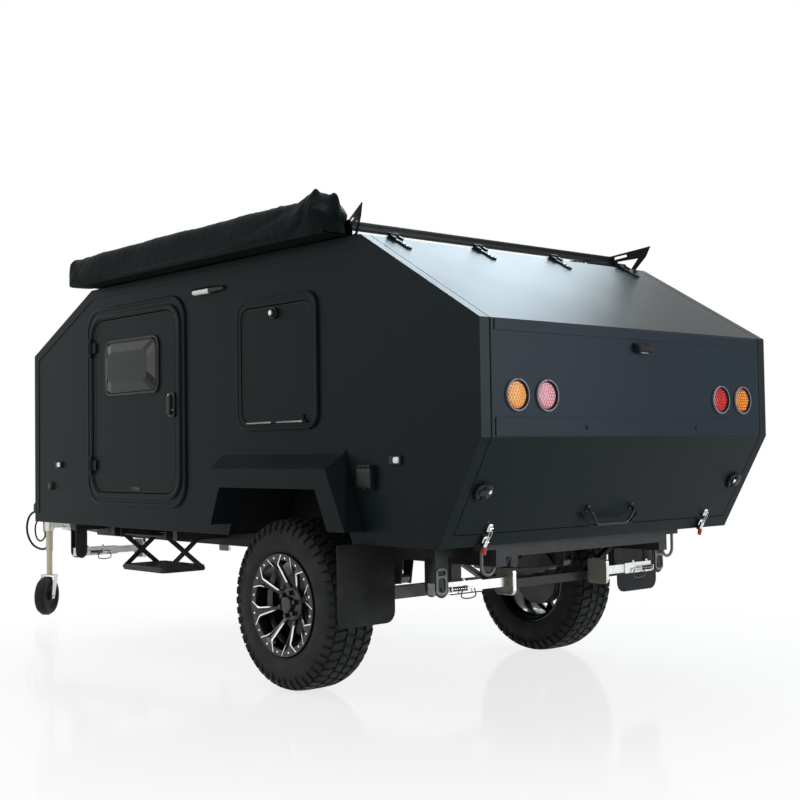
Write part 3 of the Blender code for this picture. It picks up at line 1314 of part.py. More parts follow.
def entry_door(side, parent, shell, glass):
    """Door leaf on two flag hinges in a stepped frame, with its domed window and its handle."""
    tag = "left" if side > 0 else "right"
    face = BODY_HALF + LEAF_PROUD
    outer = rounded(DOOR_LENGTH, DOOR_HEIGHT, DOOR_ROUND, (DOOR_X, DOOR_Z))
    frame = ring(outer, door_opening(), side, BODY_HALF + SEAT, BODY_HALF + FRAME_PROUD - FRAME_STEP)
    step_edge = door_opening(FRAME_INSIDE)
    fuse(frame, ring(step_edge, door_opening(), side, BODY_HALF + 0.002, BODY_HALF + FRAME_PROUD))
    hinge_x = DOOR_X + DOOR_LENGTH / 2 - DOOR_BORDER
    pin_x, pin_y = hinge_x + 0.006, BODY_HALF + FRAME_PROUD + 0.010
    for z in DOOR_HINGES:
        for end in (-1, 1):
            near, far = sorted((z + end * (0.030 + SEAT), z + end * 0.052))
            low, high = sided(side, BODY_HALF + FRAME_PROUD - 0.002, pin_y)
            foot = box((pin_x - 0.003, low, near), (pin_x + 0.026, high, far))
            fuse(frame, foot, rod((pin_x, side * pin_y, near), (pin_x, side * pin_y, far), DOOR_PIN, 8))
    piece(frame, "door_frame_" + tag, shell, parent, smooth=35)

    leaf = prism(door_opening(-MOVE), "Y", *sided(side, BODY_HALF - WALL, face))
    hole = rounded(WINDOW_LENGTH - 2 * WINDOW_RIM, WINDOW_HEIGHT - 2 * WINDOW_RIM, WINDOW_ROUND - 0.020,
                   (WINDOW_X, WINDOW_Z))
    cut(leaf, prism(hole, "Y", *sided(side, BODY_HALF - WALL - 0.02, face + 0.02)))
    plate = rounded(HANDLE_LENGTH * 0.5, HANDLE_LENGTH, 0.014, (HANDLE_X, HANDLE_Z), 2)
    grip = rounded(HANDLE_LENGTH * 0.2, HANDLE_LENGTH * 0.75, 0.010, (HANDLE_X, HANDLE_Z), 2)
    fuse(leaf, prism(plate, "Y", *sided(side, face - 0.002, face + 0.010)))
    fuse(leaf, prism(grip, "Y", *sided(side, face + 0.008, face + 0.028)))
    for z in DOOR_HINGES:
        knuckle = rod((pin_x, side * pin_y, z - 0.030), (pin_x, side * pin_y, z + 0.030), DOOR_PIN, 8)
        low, high = sided(side, face - 0.002, pin_y - 0.002)
        flag = box((pin_x - 0.050, low, z - 0.028), (hinge_x - MOVE - 0.001, high, z + 0.028))
        low, high = sided(side, pin_y - DOOR_PIN, pin_y - 0.002)
        tongue = box((hinge_x - MOVE - 0.003, low, z - 0.026), (pin_x, high, z + 0.026))
        fuse(leaf, flag, tongue, knuckle)
    piece(leaf, "entry_door_" + tag, shell, parent, (pin_x, side * pin_y, DOOR_Z), smooth=35)

    near = face + SEAT
    rings = []
    for shrink, y in ((0, near), (0, near + WINDOW_PROUD - 0.003), (0.010, near + WINDOW_PROUD),
                      (WINDOW_RIM, near + WINDOW_PROUD), (WINDOW_RIM + 0.006, near + WINDOW_PROUD - 0.004),
                      (WINDOW_RIM + 0.030, near + WINDOW_PROUD + PANE_PROUD * 0.6),
                      (WINDOW_RIM + 0.070, near + WINDOW_PROUD + PANE_PROUD)):
        outline = rounded(WINDOW_LENGTH - 2 * shrink, WINDOW_HEIGHT - 2 * shrink, WINDOW_ROUND - shrink / 2,
                          (WINDOW_X, WINDOW_Z), 3)
        rings.append([(x, side * y, z) for x, z in outline])
    piece(loft(rings), "door_window_" + tag, glass, parent, smooth=35)


def locker(side, parent, shell):
    """Drop-down locker door on one long hinge in a stepped frame, with its lock knob."""
    tag = "left" if side > 0 else "right"
    face = BODY_HALF + LEAF_PROUD
    outer = rounded(LOCKER_LENGTH, LOCKER_HEIGHT, LOCKER_ROUND, (LOCKER_X, LOCKER_Z))
    frame = ring(outer, locker_opening(), side, BODY_HALF + SEAT, BODY_HALF + FRAME_PROUD)
    edge_z = LOCKER_Z - LOCKER_HEIGHT / 2 + LOCKER_BORDER
    pin_y, pin_z = side * (BODY_HALF + FRAME_PROUD + 0.008), edge_z - 0.004
    half = LOCKER_LENGTH / 2 - LOCKER_ROUND - 0.020
    for end in (-1, 1):
        near, far = sorted((LOCKER_X + end * (half + SEAT), LOCKER_X + end * (half + 0.022)))
        low, high = sorted((side * (BODY_HALF + FRAME_PROUD - 0.002), pin_y))
        foot = box((near, low, pin_z - 0.006), (far, high, pin_z + 0.0035))
        fuse(frame, foot, rod((near, pin_y, pin_z), (far, pin_y, pin_z), LOCKER_PIN, 8))
    piece(frame, "locker_frame_" + tag, shell, parent)

    leaf = prism(locker_opening(-MOVE), "Y", *sided(side, BODY_HALF - WALL, face))
    lock_z = LOCKER_Z + LOCKER_HEIGHT / 2 - LOCKER_BORDER - 0.040
    knob = stacked(((LOCK_RADIUS, -0.002), (LOCK_RADIUS, 0.009), (LOCK_RADIUS - 0.006, 0.013)),
                   (LOCKER_X, side * face, lock_z), (0, side, 0), 14)
    hinge = rod((LOCKER_X - half, pin_y, pin_z), (LOCKER_X + half, pin_y, pin_z), LOCKER_PIN, 8)
    reach = half - 0.002
    low, high = sorted((side * (face - 0.002), pin_y - side * 0.001))
    flag = box((LOCKER_X - reach, low, edge_z + MOVE + 0.001), (LOCKER_X + reach, high, pin_z + 0.030))
    low, high = sorted((pin_y - side * 0.0055, pin_y - side * 0.001))
    reach += 0.001
    tongue = box((LOCKER_X - reach, low, pin_z), (LOCKER_X + reach, high, edge_z + MOVE + 0.003))
    fuse(leaf, knob, flag, tongue, hinge)
    piece(leaf, "locker_door_" + tag, shell, parent, (LOCKER_X, pin_y, pin_z), smooth=35)


def porch_lamp(parent, material):
    """Lamp over the left entry door, its lens sloping in towards the wall."""
    low, high = BODY_HALF + SEAT, BODY_HALF + PORCH_PROUD
    foot, head = PORCH_Z - PORCH_HEIGHT / 2, PORCH_Z + PORCH_HEIGHT / 2
    section = ((low, foot), (high - 0.008, foot), (high, foot + 0.015), (high - 0.012, head), (low, head))
    obj = prism(section, "X", PORCH_X - PORCH_LENGTH / 2, PORCH_X + PORCH_LENGTH / 2)
    piece(obj, "porch_lamp", material, parent)


# ---------------------------------------------------------------- roof


def roof_bar(x, name, rear, parent, material):
    """Grooved crossbar between two wing plates that stand on the roof; the rear pair sweep up behind it."""
    bottom, top = BAR_BOTTOM, BAR_BOTTOM + BAR_HEIGHT
    half = BAR_WIDTH / 2
    inner, sill, head = half - BAR_GROOVE, bottom + BAR_LIP, top - BAR_LIP
    section = (
        (x - half, bottom), (x + half, bottom), (x + half, sill), (x + inner, sill),
        (x + inner, head), (x + half, head), (x + half, top), (x - half, top),
        (x - half, head), (x - inner, head), (x - inner, sill), (x - half, sill),
    )
    obj = prism(section, "Y", -BAR_PLATE_Y - BAR_OVERHANG, BAR_PLATE_Y + BAR_OVERHANG)
    foot = ROOF + SEAT
    if rear:
        plate = (
            (x - 0.050, foot), (x + 0.340, foot), (x + 0.340, foot + 0.030), (x + 0.140, top),
            (x - 0.060, top + 0.004), (x - 0.200, top + 0.042), (x - 0.150, foot + 0.030),
        )
        windows = (
            ((x + 0.050, foot + 0.018), (x + 0.300, foot + 0.018), (x + 0.150, top - 0.014),
             (x + 0.050, top - 0.014)),
            ((x - 0.072, foot + 0.022), (x - 0.078, top - 0.008), (x - 0.176, top + 0.019),
             (x - 0.143, foot + 0.042)),
        )
    else:
        plate = (
            (x - 0.060, foot), (x + 0.300, foot), (x + 0.300, foot + 0.035), (x + 0.060, top + 0.004),
            (x - 0.050, top + 0.004),
        )
        windows = (
            ((x + 0.060, foot + 0.018), (x + 0.250, foot + 0.018), (x + 0.080, top - 0.024),
             (x + 0.060, top - 0.024)),
        )
    for side in (-1, 1):
        near, far = sided(side, BAR_PLATE_Y, BAR_PLATE_Y + BAR_PLATE)
        wing = prism(plate, "Y", near, far)
        cut(wing, *(prism(window, "Y", near - 0.01, far + 0.01) for window in windows))
        low, high = sided(side, BAR_PLATE_Y - 0.040, BAR_PLATE_Y + 0.002)
        fuse(obj, wing, box((x - 0.040, low, foot), (x + 0.280, high, foot + 0.005)))
    piece(obj, name, material, parent)


def awning(parent, metal, fabric):
    """Angle rail bolted to the bar plates, and the long bag that lies in it."""
    start, end = BAR_PLATE_Y + BAR_OVERHANG + SEAT, AWNING_OUTER - 0.010
    sheet, bottom = AWNING_SHEET, AWNING_BOTTOM - SEAT - AWNING_SHEET
    section = (
        (start, bottom), (end, bottom), (end, bottom + 0.020), (end - sheet, bottom + 0.020),
        (end - sheet, bottom + sheet), (start + sheet, bottom + sheet), (start + sheet, bottom + 0.060),
        (start, bottom + 0.060),
    )
    rail = prism(section, "X", AWNING_REAR + 0.010, AWNING_FRONT - 0.010)
    piece(rail, "awning_rail", metal, parent)
    near, far = start + sheet + 0.001, end - sheet - 0.001
    low, high = AWNING_BOTTOM, AWNING_TOP
    cross = (
        (near, low), (far, low), (far, low + 0.022), (AWNING_OUTER, low + 0.045),
        (AWNING_OUTER, high - 0.050), (AWNING_OUTER - 0.016, high - 0.014), (AWNING_OUTER - 0.050, high),
        (near + 0.050, high), (near + 0.014, high - 0.014), (near, high - 0.050),
    )
    middle = Vector(((near + AWNING_OUTER) / 2, (low + high) / 2))
    ends = (
        # place, size of the section there
        (AWNING_REAR, 0.88), (AWNING_REAR + 0.030, 1.0), (AWNING_FRONT - 0.120, 1.0), (AWNING_FRONT, 0.86),
    )
    rings = []
    for x, size in ends:
        ring_points = [middle + (Vector(point) - middle) * size for point in cross]
        drop = low - min(point.y for point in ring_points)
        rings.append([(x, point.x, point.y + drop) for point in ring_points])
    piece(loft(rings), "awning_bag", fabric, parent)


# ---------------------------------------------------------------- assembly


def build():
    clear_scene()
    body = paint("body paint", (0.028, 0.034, 0.037), 0.45)
    rear = paint("rear paint", (0.040, 0.050, 0.062), 0.40)
    black = paint("chassis black", (0.012, 0.013, 0.014), 0.55)
    trim = paint("black powder coat", (0.018, 0.019, 0.020), 0.50)
    alloy = paint("black alloy", (0.015, 0.015, 0.016), 0.30, 0.4)
    tread = paint("tyre rubber", (0.020, 0.020, 0.021), 0.85)
    rubber = paint("flap rubber", (0.022, 0.023, 0.024), 0.80)
    zinc = paint("zinc plate", (0.62, 0.62, 0.60), 0.35, 0.9)
    steel = paint("spring steel", (0.10, 0.10, 0.105), 0.45, 0.7)
    glass = paint("tinted pane", (0.02, 0.024, 0.026), 0.08)
    red = paint("red lens", (0.65, 0.02, 0.02), 0.15)
    amber = paint("amber lens", (0.85, 0.30, 0.02), 0.15)
    white = paint("white lens", (0.80, 0.80, 0.78), 0.25)
    sheath = paint("cable sheath", (0.022, 0.022, 0.023), 0.60)
    signal = paint("red plastic", (0.60, 0.05, 0.03), 0.40)
    canvas = paint("bag fabric", (0.025, 0.030, 0.031), 0.75)

    trailer = bpy.data.objects.new("trailer", None)
    trailer.location = (AXLE_X, 0, 0)
    bpy.context.scene.collection.objects.link(trailer)

    chassis(trailer, black)
    coupling(trailer, trim)
    axle(trailer, black)
    step_frame(trailer, black)
    step(trailer, trim)
    jockey_clamp(trailer, zinc)
    jockey(trailer, zinc, rubber)
    leads(trailer, sheath, signal)
    cabin_floor(trailer, trim)
    panels(trailer, body)
    rear_hatch(trailer, rear)
    tail_lamps(trailer, red, amber)
    plate_lamp(trailer, trim)
    porch_lamp(trailer, white)
    for side in (1, -1):
        leaf_spring(side, trailer, steel)
        tyre(side, trailer, tread)
        rim(side, trailer, alloy)
        side_wall(side, trailer, body)
        fender(side, trailer, body)
        mudflap(side, trailer, rubber)
        entry_door(side, trailer, body, glass)
        locker(side, trailer, body)
        tag = "left" if side > 0 else "right"
        for x, end in zip(LEG_PLACES, ("rear", "front")):
            stabiliser_leg(x, side, f"stabiliser_{end}_{tag}", trailer, zinc)
    for x, end in zip(BAR_PLACES, ("rear", "middle", "front")):
        roof_bar(x, "roof_bar_" + end, end == "rear", trailer, trim)
    awning(trailer, trim, canvas)


build()
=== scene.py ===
"""Off-road camper trailer: the finish of every surface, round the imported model.

The file follows the trailer as it is put together: the stand it is shown on, the leads, the
frame and running gear, the body and its doors, the rear hatch, the roof and the awning.
Metres, +X forward, +Y left, +Z up.
"""

import json
import math

import bpy
import numpy as np
from mathutils import Matrix, Vector
from mathutils.geometry import tessellate_polygon

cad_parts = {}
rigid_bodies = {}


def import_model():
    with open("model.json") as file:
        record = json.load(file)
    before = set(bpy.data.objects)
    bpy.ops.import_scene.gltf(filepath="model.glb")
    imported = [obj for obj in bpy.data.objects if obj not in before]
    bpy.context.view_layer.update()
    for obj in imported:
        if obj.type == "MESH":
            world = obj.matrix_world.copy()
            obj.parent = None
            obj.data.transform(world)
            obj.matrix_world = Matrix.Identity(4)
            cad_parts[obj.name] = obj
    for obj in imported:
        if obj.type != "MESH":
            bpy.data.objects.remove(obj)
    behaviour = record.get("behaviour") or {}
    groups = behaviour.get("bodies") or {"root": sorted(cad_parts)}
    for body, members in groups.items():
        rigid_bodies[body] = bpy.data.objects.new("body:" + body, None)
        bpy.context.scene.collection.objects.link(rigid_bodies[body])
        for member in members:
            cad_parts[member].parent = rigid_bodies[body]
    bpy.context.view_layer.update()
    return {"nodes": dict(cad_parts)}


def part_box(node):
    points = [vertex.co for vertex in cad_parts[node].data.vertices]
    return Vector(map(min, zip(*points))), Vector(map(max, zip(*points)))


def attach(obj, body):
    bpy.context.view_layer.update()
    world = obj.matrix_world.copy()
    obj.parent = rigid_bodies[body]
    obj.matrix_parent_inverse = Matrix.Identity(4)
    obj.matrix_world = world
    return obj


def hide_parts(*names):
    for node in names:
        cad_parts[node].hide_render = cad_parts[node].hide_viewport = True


for start_object in list(bpy.data.objects):
    bpy.data.objects.remove(start_object, do_unlink=True)
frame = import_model()

# ------------------------------------------------------------------ stand and camera
# The trailer stands on a plain white studio floor, under one wide overhead softbox and three
# large side panels. The camera is held low, at 1.1 m, behind and to the left of it.

axle_x = sum(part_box("tyre_left"), Vector()).x / 2
camera_place = (axle_x - 4.84, 4.50, 1.11)
camera_turn, camera_rise, camera_roll = (math.radians(a) for a in (-41.57, 2.23, -0.84))
camera_data = bpy.data.cameras.new("camera")
camera_data.lens, camera_data.sensor_width, camera_data.clip_end = 57.7, 36, 200
camera = bpy.data.objects.new("camera", camera_data)
bpy.context.scene.collection.objects.link(camera)
ahead = Vector(
    (
        math.cos(camera_rise) * math.cos(camera_turn),
        math.cos(camera_rise) * math.sin(camera_turn),
        math.sin(camera_rise),
    )
)
level_right = ahead.cross(Vector((0, 0, 1))).normalized()
level_up = level_right.cross(ahead)
right = level_right * math.cos(camera_roll) + level_up * math.sin(camera_roll)
above = level_up * math.cos(camera_roll) - level_right * math.sin(camera_roll)
camera_turned = Matrix((right, above, -ahead)).transposed().to_4x4()
camera.matrix_world = Matrix.Translation(camera_place) @ camera_turned
bpy.context.scene.camera = camera


def add_node(tree, kind, operation=None, **values):
    """A node of this kind. Each value goes to the input of that name, with _ for a space."""
    made = tree.nodes.new("ShaderNode" + kind)
    if operation:
        made.operation = operation
    for name, value in values.items():
        made.inputs[name.replace("_", " ")].default_value = value
    return made


def wire(tree, *runs):
    """Links every (output, input) pair."""
    for begin, end in runs:
        tree.links.new(begin, end)


studio = bpy.data.worlds.new("studio")
bpy.context.scene.world = studio
studio.use_nodes = True
tree = studio.node_tree
tree.nodes.clear()
rays = add_node(tree, "LightPath")
mirrored = add_node(tree, "Math", "MAXIMUM")
seen = add_node(tree, "Math", "MAXIMUM")
backdrop = add_node(tree, "Background", Color=(1, 1, 1, 1), Strength=1.0)
room = add_node(tree, "Background", Color=(0.93, 0.96, 1.0, 1), Strength=0.42)
which = add_node(tree, "MixShader")
output = add_node(tree, "OutputWorld")
wire(tree, (rays.outputs["Is Camera Ray"], seen.inputs[0]),
     (rays.outputs["Is Glossy Ray"], mirrored.inputs[0]),
     (rays.outputs["Is Transmission Ray"], mirrored.inputs[1]), (mirrored.outputs[0], seen.inputs[1]),
     (seen.outputs[0], which.inputs["Fac"]), (room.outputs[0], which.inputs[1]),
     (backdrop.outputs[0], which.inputs[2]), (which.outputs[0], output.inputs["Surface"]))


def lamp(name, place, target, size, watts, colour):
    """A square area lamp at place, facing target."""
    data = bpy.data.lights.new(name, "AREA")
    data.energy, data.size, data.color = watts, size, colour
    obj = bpy.data.objects.new(name, data)
    bpy.context.scene.collection.objects.link(obj)
    obj.location = place
    obj.rotation_euler = (Vector(target) - Vector(place)).to_track_quat("-Z", "Y").to_euler()


lamp("overhead", (-0.5, 0.5, 7.5), (0, 0, 0), 6.0, 300, (1.0, 0.99, 0.97))
lamp("left panel", (1.5, 8.0, 3.4), (0, 0, 1.0), 3.5, 110, (1.0, 0.99, 0.97))
lamp("rear panel", (-8.6, -3.7, 2.2), (axle_x - 1.4, 0.6, 1.3), 3.4, 320, (0.86, 0.94, 1.0))
lamp("far panel", (axle_x + 4.6, -6.3, 7.1), (axle_x - 1.0, 0.3, 1.9), 3.8, 430, (0.74, 0.90, 1.0))

floor_reach = 40
floor_corners = [(x * floor_reach, y * floor_reach, 0) for x, y in ((-1, -1), (1, -1), (1, 1), (-1, 1))]
floor_mesh = bpy.data.meshes.new("floor")
floor_mesh.from_pydata(floor_corners, [], [(0, 1, 2, 3)])
floor = bpy.data.objects.new("floor", floor_mesh)
bpy.context.scene.collection.objects.link(floor)
floor_paint = bpy.data.materials.new("white studio floor")
floor_paint.use_nodes = True
floor_mesh.materials.append(floor_paint)
tree = floor_paint.node_tree
floor_shader = tree.nodes["Principled BSDF"]
floor_shader.inputs["Base Color"].default_value = (0.80, 0.805, 0.81, 1)
floor_shader.inputs["Roughness"].default_value = 0.10
floor_shader.inputs["Specular IOR Level"].default_value = 0.35
# The floor goes over to the backdrop's white with the distance from the axle, as it is seen.
place = add_node(tree, "TexCoord")
distance = add_node(tree, "VectorMath", "DISTANCE")
distance.inputs[1].default_value = (axle_x, 0, 0)
fade = add_node(tree, "MapRange", From_Min=1.5, From_Max=3.8, To_Min=0.77)
fade.interpolation_type = "SMOOTHSTEP"
rays = add_node(tree, "LightPath")
seen = add_node(tree, "Math", "MAXIMUM")
share = add_node(tree, "Math", "MULTIPLY")
far_white = add_node(tree, "Emission", Strength=1.0)
mix = add_node(tree, "MixShader")
wire(tree, (place.outputs["Object"], distance.inputs[0]), (distance.outputs["Value"], fade.inputs["Value"]),
     (rays.outputs["Is Camera Ray"], seen.inputs[0]), (rays.outputs["Is Glossy Ray"], seen.inputs[1]),
     (fade.outputs["Result"], share.inputs[0]), (seen.outputs[0], share.inputs[1]),
     (share.outputs[0], mix.inputs["Fac"]), (floor_shader.outputs[0], mix.inputs[1]),
     (far_white.outputs[0], mix.inputs[2]), (mix.outputs[0], tree.nodes["Material Output"].inputs["Surface"]))
bpy.context.scene.view_settings.view_transform = "Standard"

# ------------------------------------------------------------------ leads
# The main lead is a round PVC-sheathed cable of seven cores, the second one a thinner lead.
# Both come out of a holder beside the drawbar, hang in one loose loop and go up into plugs
# that are parked below the drawbar. Each has a moulded bend relief at both ends.


def finish(name, colour, roughness, metallic=0.0, vary=0.12, patch=9.0, grain=350.0, height=0.0004,
           gloss=0.5, dust=0.0, edge_highlight=0.0):
    """A painted, plated or moulded finish.

    Colour and roughness drift with a broad noise of patch features a metre, by vary of their
    value. A fine noise of grain features a metre is a bump of height metres, at about a third of
    full strength. dust adds a thin pale layer that grows towards the ground, in specks. The edges
    that a Bevel node finds are paled by the edge amount: a painted highlight along every edge.
    """
    material = bpy.data.materials.new(name)
    material.use_nodes = True
    tree = material.node_tree
    shader = tree.nodes["Principled BSDF"]
    shader.inputs["Metallic"].default_value = metallic
    shader.inputs["Specular IOR Level"].default_value = gloss
    place = add_node(tree, "TexCoord").outputs["Object"]

    def noise(scale, detail):
        """Noise of scale features a metre on the object's own coordinates."""
        made = add_node(tree, "TexNoise", Scale=scale, Detail=detail)
        wire(tree, (place, made.inputs["Vector"]))
        return made.outputs["Fac"]

    def ranged(value, **ends):
        """The value carried from one range to another."""
        made = add_node(tree, "MapRange", **ends)
        wire(tree, (value, made.inputs["Value"]))
        return made.outputs["Result"]

    def blended(amount, under, over):
        """The colour that goes from under, a colour or an output, to the colour over, by amount."""
        made = add_node(tree, "Mix")
        made.data_type = "RGBA"
        made.inputs[7].default_value = (*over, 1)
        wire(tree, (amount, made.inputs[0]))
        if isinstance(under, list):
            made.inputs[6].default_value = (*under, 1)
        else:
            wire(tree, (under, made.inputs[6]))
        return made.outputs[2]

    broad = noise(patch, 5.0)
    shade = blended(broad, [c * (1 - vary) for c in colour], [min(1.0, c * (1 + vary)) for c in colour])
    rough = ranged(broad, From_Min=0.3, From_Max=0.7, To_Min=roughness * (1 - vary),
                   To_Max=min(1.0, roughness * (1 + vary)))
    # Painted highlight: the colour goes to a lighter copy along the edges that the Bevel node finds.
    if edge_highlight:
        soft = add_node(tree, "Bevel", Radius=0.004)
        soft.samples = 4
        bend = add_node(tree, "VectorMath", "DOT_PRODUCT")
        wire(tree, (soft.outputs["Normal"], bend.inputs[0]),
             (add_node(tree, "NewGeometry").outputs["Normal"], bend.inputs[1]))
        lit_edges = ranged(bend.outputs["Value"], From_Min=0.985, From_Max=0.80, To_Max=edge_highlight)
        shade = blended(lit_edges, shade, [min(1.0, c * 2.2 + 0.02) for c in colour])
    if dust:
        split = add_node(tree, "SeparateXYZ")
        strewn = add_node(tree, "Math", "MULTIPLY")
        wire(tree, (place, split.inputs[0]), (noise(28.0, 7.0), strewn.inputs[1]),
             (ranged(split.outputs["Z"], From_Min=1.1, From_Max=0.1, To_Max=dust), strewn.inputs[0]))
        shade = blended(strewn.outputs[0], shade, (0.20, 0.19, 0.17))
    bump = add_node(tree, "Bump", Strength=0.35, Distance=height)
    wire(tree, (shade, shader.inputs["Base Color"]), (rough, shader.inputs["Roughness"]),
         (noise(grain, 3.0), bump.inputs["Height"]), (bump.outputs["Normal"], shader.inputs["Normal"]))
    return material


def quads(rows, columns, ring=True, loop=False):
    """Faces of a grid of rows times columns. ring closes each row, and loop joins last and first."""
    across = np.arange(columns if ring else columns - 1)
    down = np.arange(rows if loop else rows - 1)[:, None]
    ahead, below = (across + 1) % columns, (down + 1) % rows
    corners = (down * columns + across, down * columns + ahead, below * columns + ahead,
               below * columns + across)
    return np.stack(np.broadcast_arrays(*corners), -1).reshape(-1, 4).tolist()


def tube(line, radius, sides=16):
    """Rings of sides points round a line of points, with a flat cap at each end.

    The ring's first direction is carried along the line, each time less its part along the new
    tangent, so that the tube does not twist. radius may be one value or one for each point.
    """
    line = np.asarray(line, float)
    along = np.gradient(line, axis=0)
    along /= np.linalg.norm(along, axis=1)[:, None]
    first = np.cross(along[0], (0, 0, 1) if abs(along[0][2]) < 0.9 else (1, 0, 0))
    carried = []
    for direction in along:
        first = first - direction * (first @ direction)
        first = first / np.linalg.norm(first)
        carried.append(first)
    carried = np.array(carried)
    second = np.cross(along, carried)
    turn = np.linspace(0, 2 * np.pi, sides, endpoint=False)[None, :, None]
    spread = np.broadcast_to(np.asarray(radius, float), (len(line),))[:, None, None]
    points = line[:, None] + spread * (np.cos(turn) * carried[:, None] + np.sin(turn) * second[:, None])
    faces = quads(len(line), sides)
    count = len(line) * sides
    return points.reshape(-1, 3), faces + [list(range(sides))[::-1], list(range(count - sides, count))]


def joined(*shapes):
    """Several shapes, each (points, faces), as one."""
    points, faces, start = [], [], 0
    for some, sides in shapes:
        points.append(np.asarray(some, float))
        faces += [[v + start for v in side] for side in sides]
        start += len(some)
    return np.concatenate(points), faces


def added(name, shape, material, body, sharp=35):
    """A piece of this shape, which rides on a body. Edges of over sharp degrees stay crisp."""
    points, faces = shape
    mesh = bpy.data.meshes.new(name)
    mesh.from_pydata(points.tolist(), [], faces)
    mesh.materials.append(material)
    mesh.shade_smooth()
    mesh.set_sharp_from_angle(angle=math.radians(sharp))
    obj = bpy.data.objects.new(name, mesh)
    bpy.context.scene.collection.objects.link(obj)
    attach(obj, body)
    return obj


def eased(points, spans=6):
    """Curve through the points: cubic spans, each end's slope half the chord of its neighbours."""
    p = np.asarray(points, float)
    slope = np.gradient(p, axis=0)
    t = (np.arange(spans) / spans)[None, :, None]
    a, b, m, n = p[:-1, None], p[1:, None], slope[:-1, None], slope[1:, None]
    inner = (2 * t**3 - 3 * t**2 + 1) * a + (t**3 - 2 * t**2 + t) * m
    inner = inner + (3 * t**2 - 2 * t**3) * b + (t**3 - t**2) * n
    return np.concatenate([inner.reshape(-1, 3), p[-1:]])


sheath = finish("cable sheath", (0.0075, 0.0078, 0.0080), 0.60, vary=0.2, patch=40, grain=900, height=0.0003,
                gloss=0.12)
main_route = np.array(
    (
        (4.0153, 0.152, 0.664), (4.032, 0.152, 0.664), (4.055, 0.152, 0.667), (4.090, 0.152, 0.673),
        (4.135, 0.152, 0.681), (4.180, 0.152, 0.686), (4.225, 0.151, 0.684), (4.268, 0.149, 0.674),
        (4.306, 0.147, 0.656), (4.338, 0.145, 0.631), (4.361, 0.143, 0.600), (4.373, 0.141, 0.565),
        (4.372, 0.139, 0.529), (4.358, 0.137, 0.496), (4.333, 0.136, 0.467), (4.300, 0.135, 0.444),
        (4.262, 0.134, 0.427), (4.221, 0.133, 0.417), (4.178, 0.133, 0.411), (4.136, 0.133, 0.409),
        (4.096, 0.133, 0.413), (4.062, 0.134, 0.424), (4.041, 0.134, 0.442), (4.034, 0.134, 0.460),
        (4.034, 0.134, 0.4767),
    )
)
second_route = np.array(
    (
        (4.0153, 0.152, 0.639), (4.032, 0.152, 0.639), (4.055, 0.152, 0.640), (4.090, 0.150, 0.640),
        (4.130, 0.147, 0.637), (4.170, 0.143, 0.628), (4.207, 0.139, 0.612), (4.236, 0.135, 0.589),
        (4.254, 0.131, 0.560), (4.258, 0.128, 0.529), (4.250, 0.126, 0.500), (4.229, 0.124, 0.478),
        (4.198, 0.123, 0.468), (4.165, 0.122, 0.470), (4.136, 0.121, 0.485), (4.114, 0.120, 0.503),
        (4.103, 0.120, 0.522), (4.102, 0.120, 0.5397),
    )
)
relief_swell, relief_rib, relief_ribs = 0.0045, 0.0006, 5
leads = (
    # name, points relative to the axle, diameter, what it ends in
    ("main_lead", main_route, 0.016, "main_plug"),
    ("second_lead", second_route, 0.012, "red_connector"),
)
for lead_name, route, thick, plug in leads:
    line = eased(route + (axle_x, 0, 0), 4)
    cable = added(lead_name + "_cable", tube(line, thick / 2), sheath, "trailer")
    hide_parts(lead_name)
    reliefs = []
    for end in (line[:14], line[::-1][:10]):
        share = np.linspace(0, 1, len(end))
        ribs = relief_rib * np.cos(share * 2 * np.pi * relief_ribs)
        radius = thick / 2 + relief_swell * (1 - share) + relief_rib + ribs * (1 - share)
        reliefs.append(tube(end, radius, 20))
    relief = added(lead_name + "_reliefs", joined(*reliefs), sheath, "trailer")

# ------------------------------------------------------------------ frame and running gear
# A welded steel ladder frame and drawbar in black powder coat, dusty below. The beam axle is
# sprayed with the frame, and the leaf springs are bare oiled spring steel.

node = frame["nodes"]


def wear_finish(material, *names):
    """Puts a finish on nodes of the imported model."""
    for name in names:
        node[name].data.materials.clear()
        node[name].data.materials.append(material)


# The powder coat's edges get a painted highlight from the edge amount.
powder_coat = finish("chassis powder coat", (0.010, 0.010, 0.011), 0.42, vary=0.2, grain=700, height=0.0005,
                     gloss=0.2, dust=0.18, edge_highlight=0.5)
wear_finish(powder_coat, "chassis_frame", "drawbar_coupling", "step_frame", "step_arms_outer",
            "step_arms_inner", "step_tread")
spring_steel = finish("oiled spring steel", (0.085, 0.080, 0.076), 0.42, 0.75, vary=0.3, patch=30, grain=500,
                      height=0.0006, dust=0.5)
axle_paint = finish("axle paint", (0.016, 0.016, 0.017), 0.5, vary=0.25, grain=500, height=0.0006, dust=0.5)
wear_finish(axle_paint, "axle_beam")
wear_finish(spring_steel, "leaf_spring_left", "leaf_spring_right")
zinc = finish("bright zinc plate", (0.66, 0.66, 0.64), 0.30, 0.95, vary=0.14, patch=22, grain=300,
              height=0.0004, dust=0.25)
wear_finish(zinc, "stabiliser_rear_left", "stabiliser_rear_right", "stabiliser_front_left",
            "stabiliser_front_right", "jockey_clamp", "jockey_fork")
cream_zinc = finish("yellowed zinc plate", (0.46, 0.42, 0.31), 0.38, 0.6, vary=0.16, patch=22, grain=300,
                    height=0.0004, dust=0.25)
wear_finish(cream_zinc, "jockey_stem", "jockey_tube")
moulded_rubber = finish("moulded rubber", (0.0100, 0.0105, 0.0110), 0.62, vary=0.2, grain=600, height=0.0005,
                        gloss=0.12, dust=0.10)
wear_finish(moulded_rubber, "mudflap_left", "mudflap_right", "main_plug", "jockey_wheel")
red_plastic = finish("red nylon", (0.55, 0.030, 0.015), 0.38, vary=0.1, patch=60, grain=900, height=0.0002)
wear_finish(red_plastic, "red_connector")

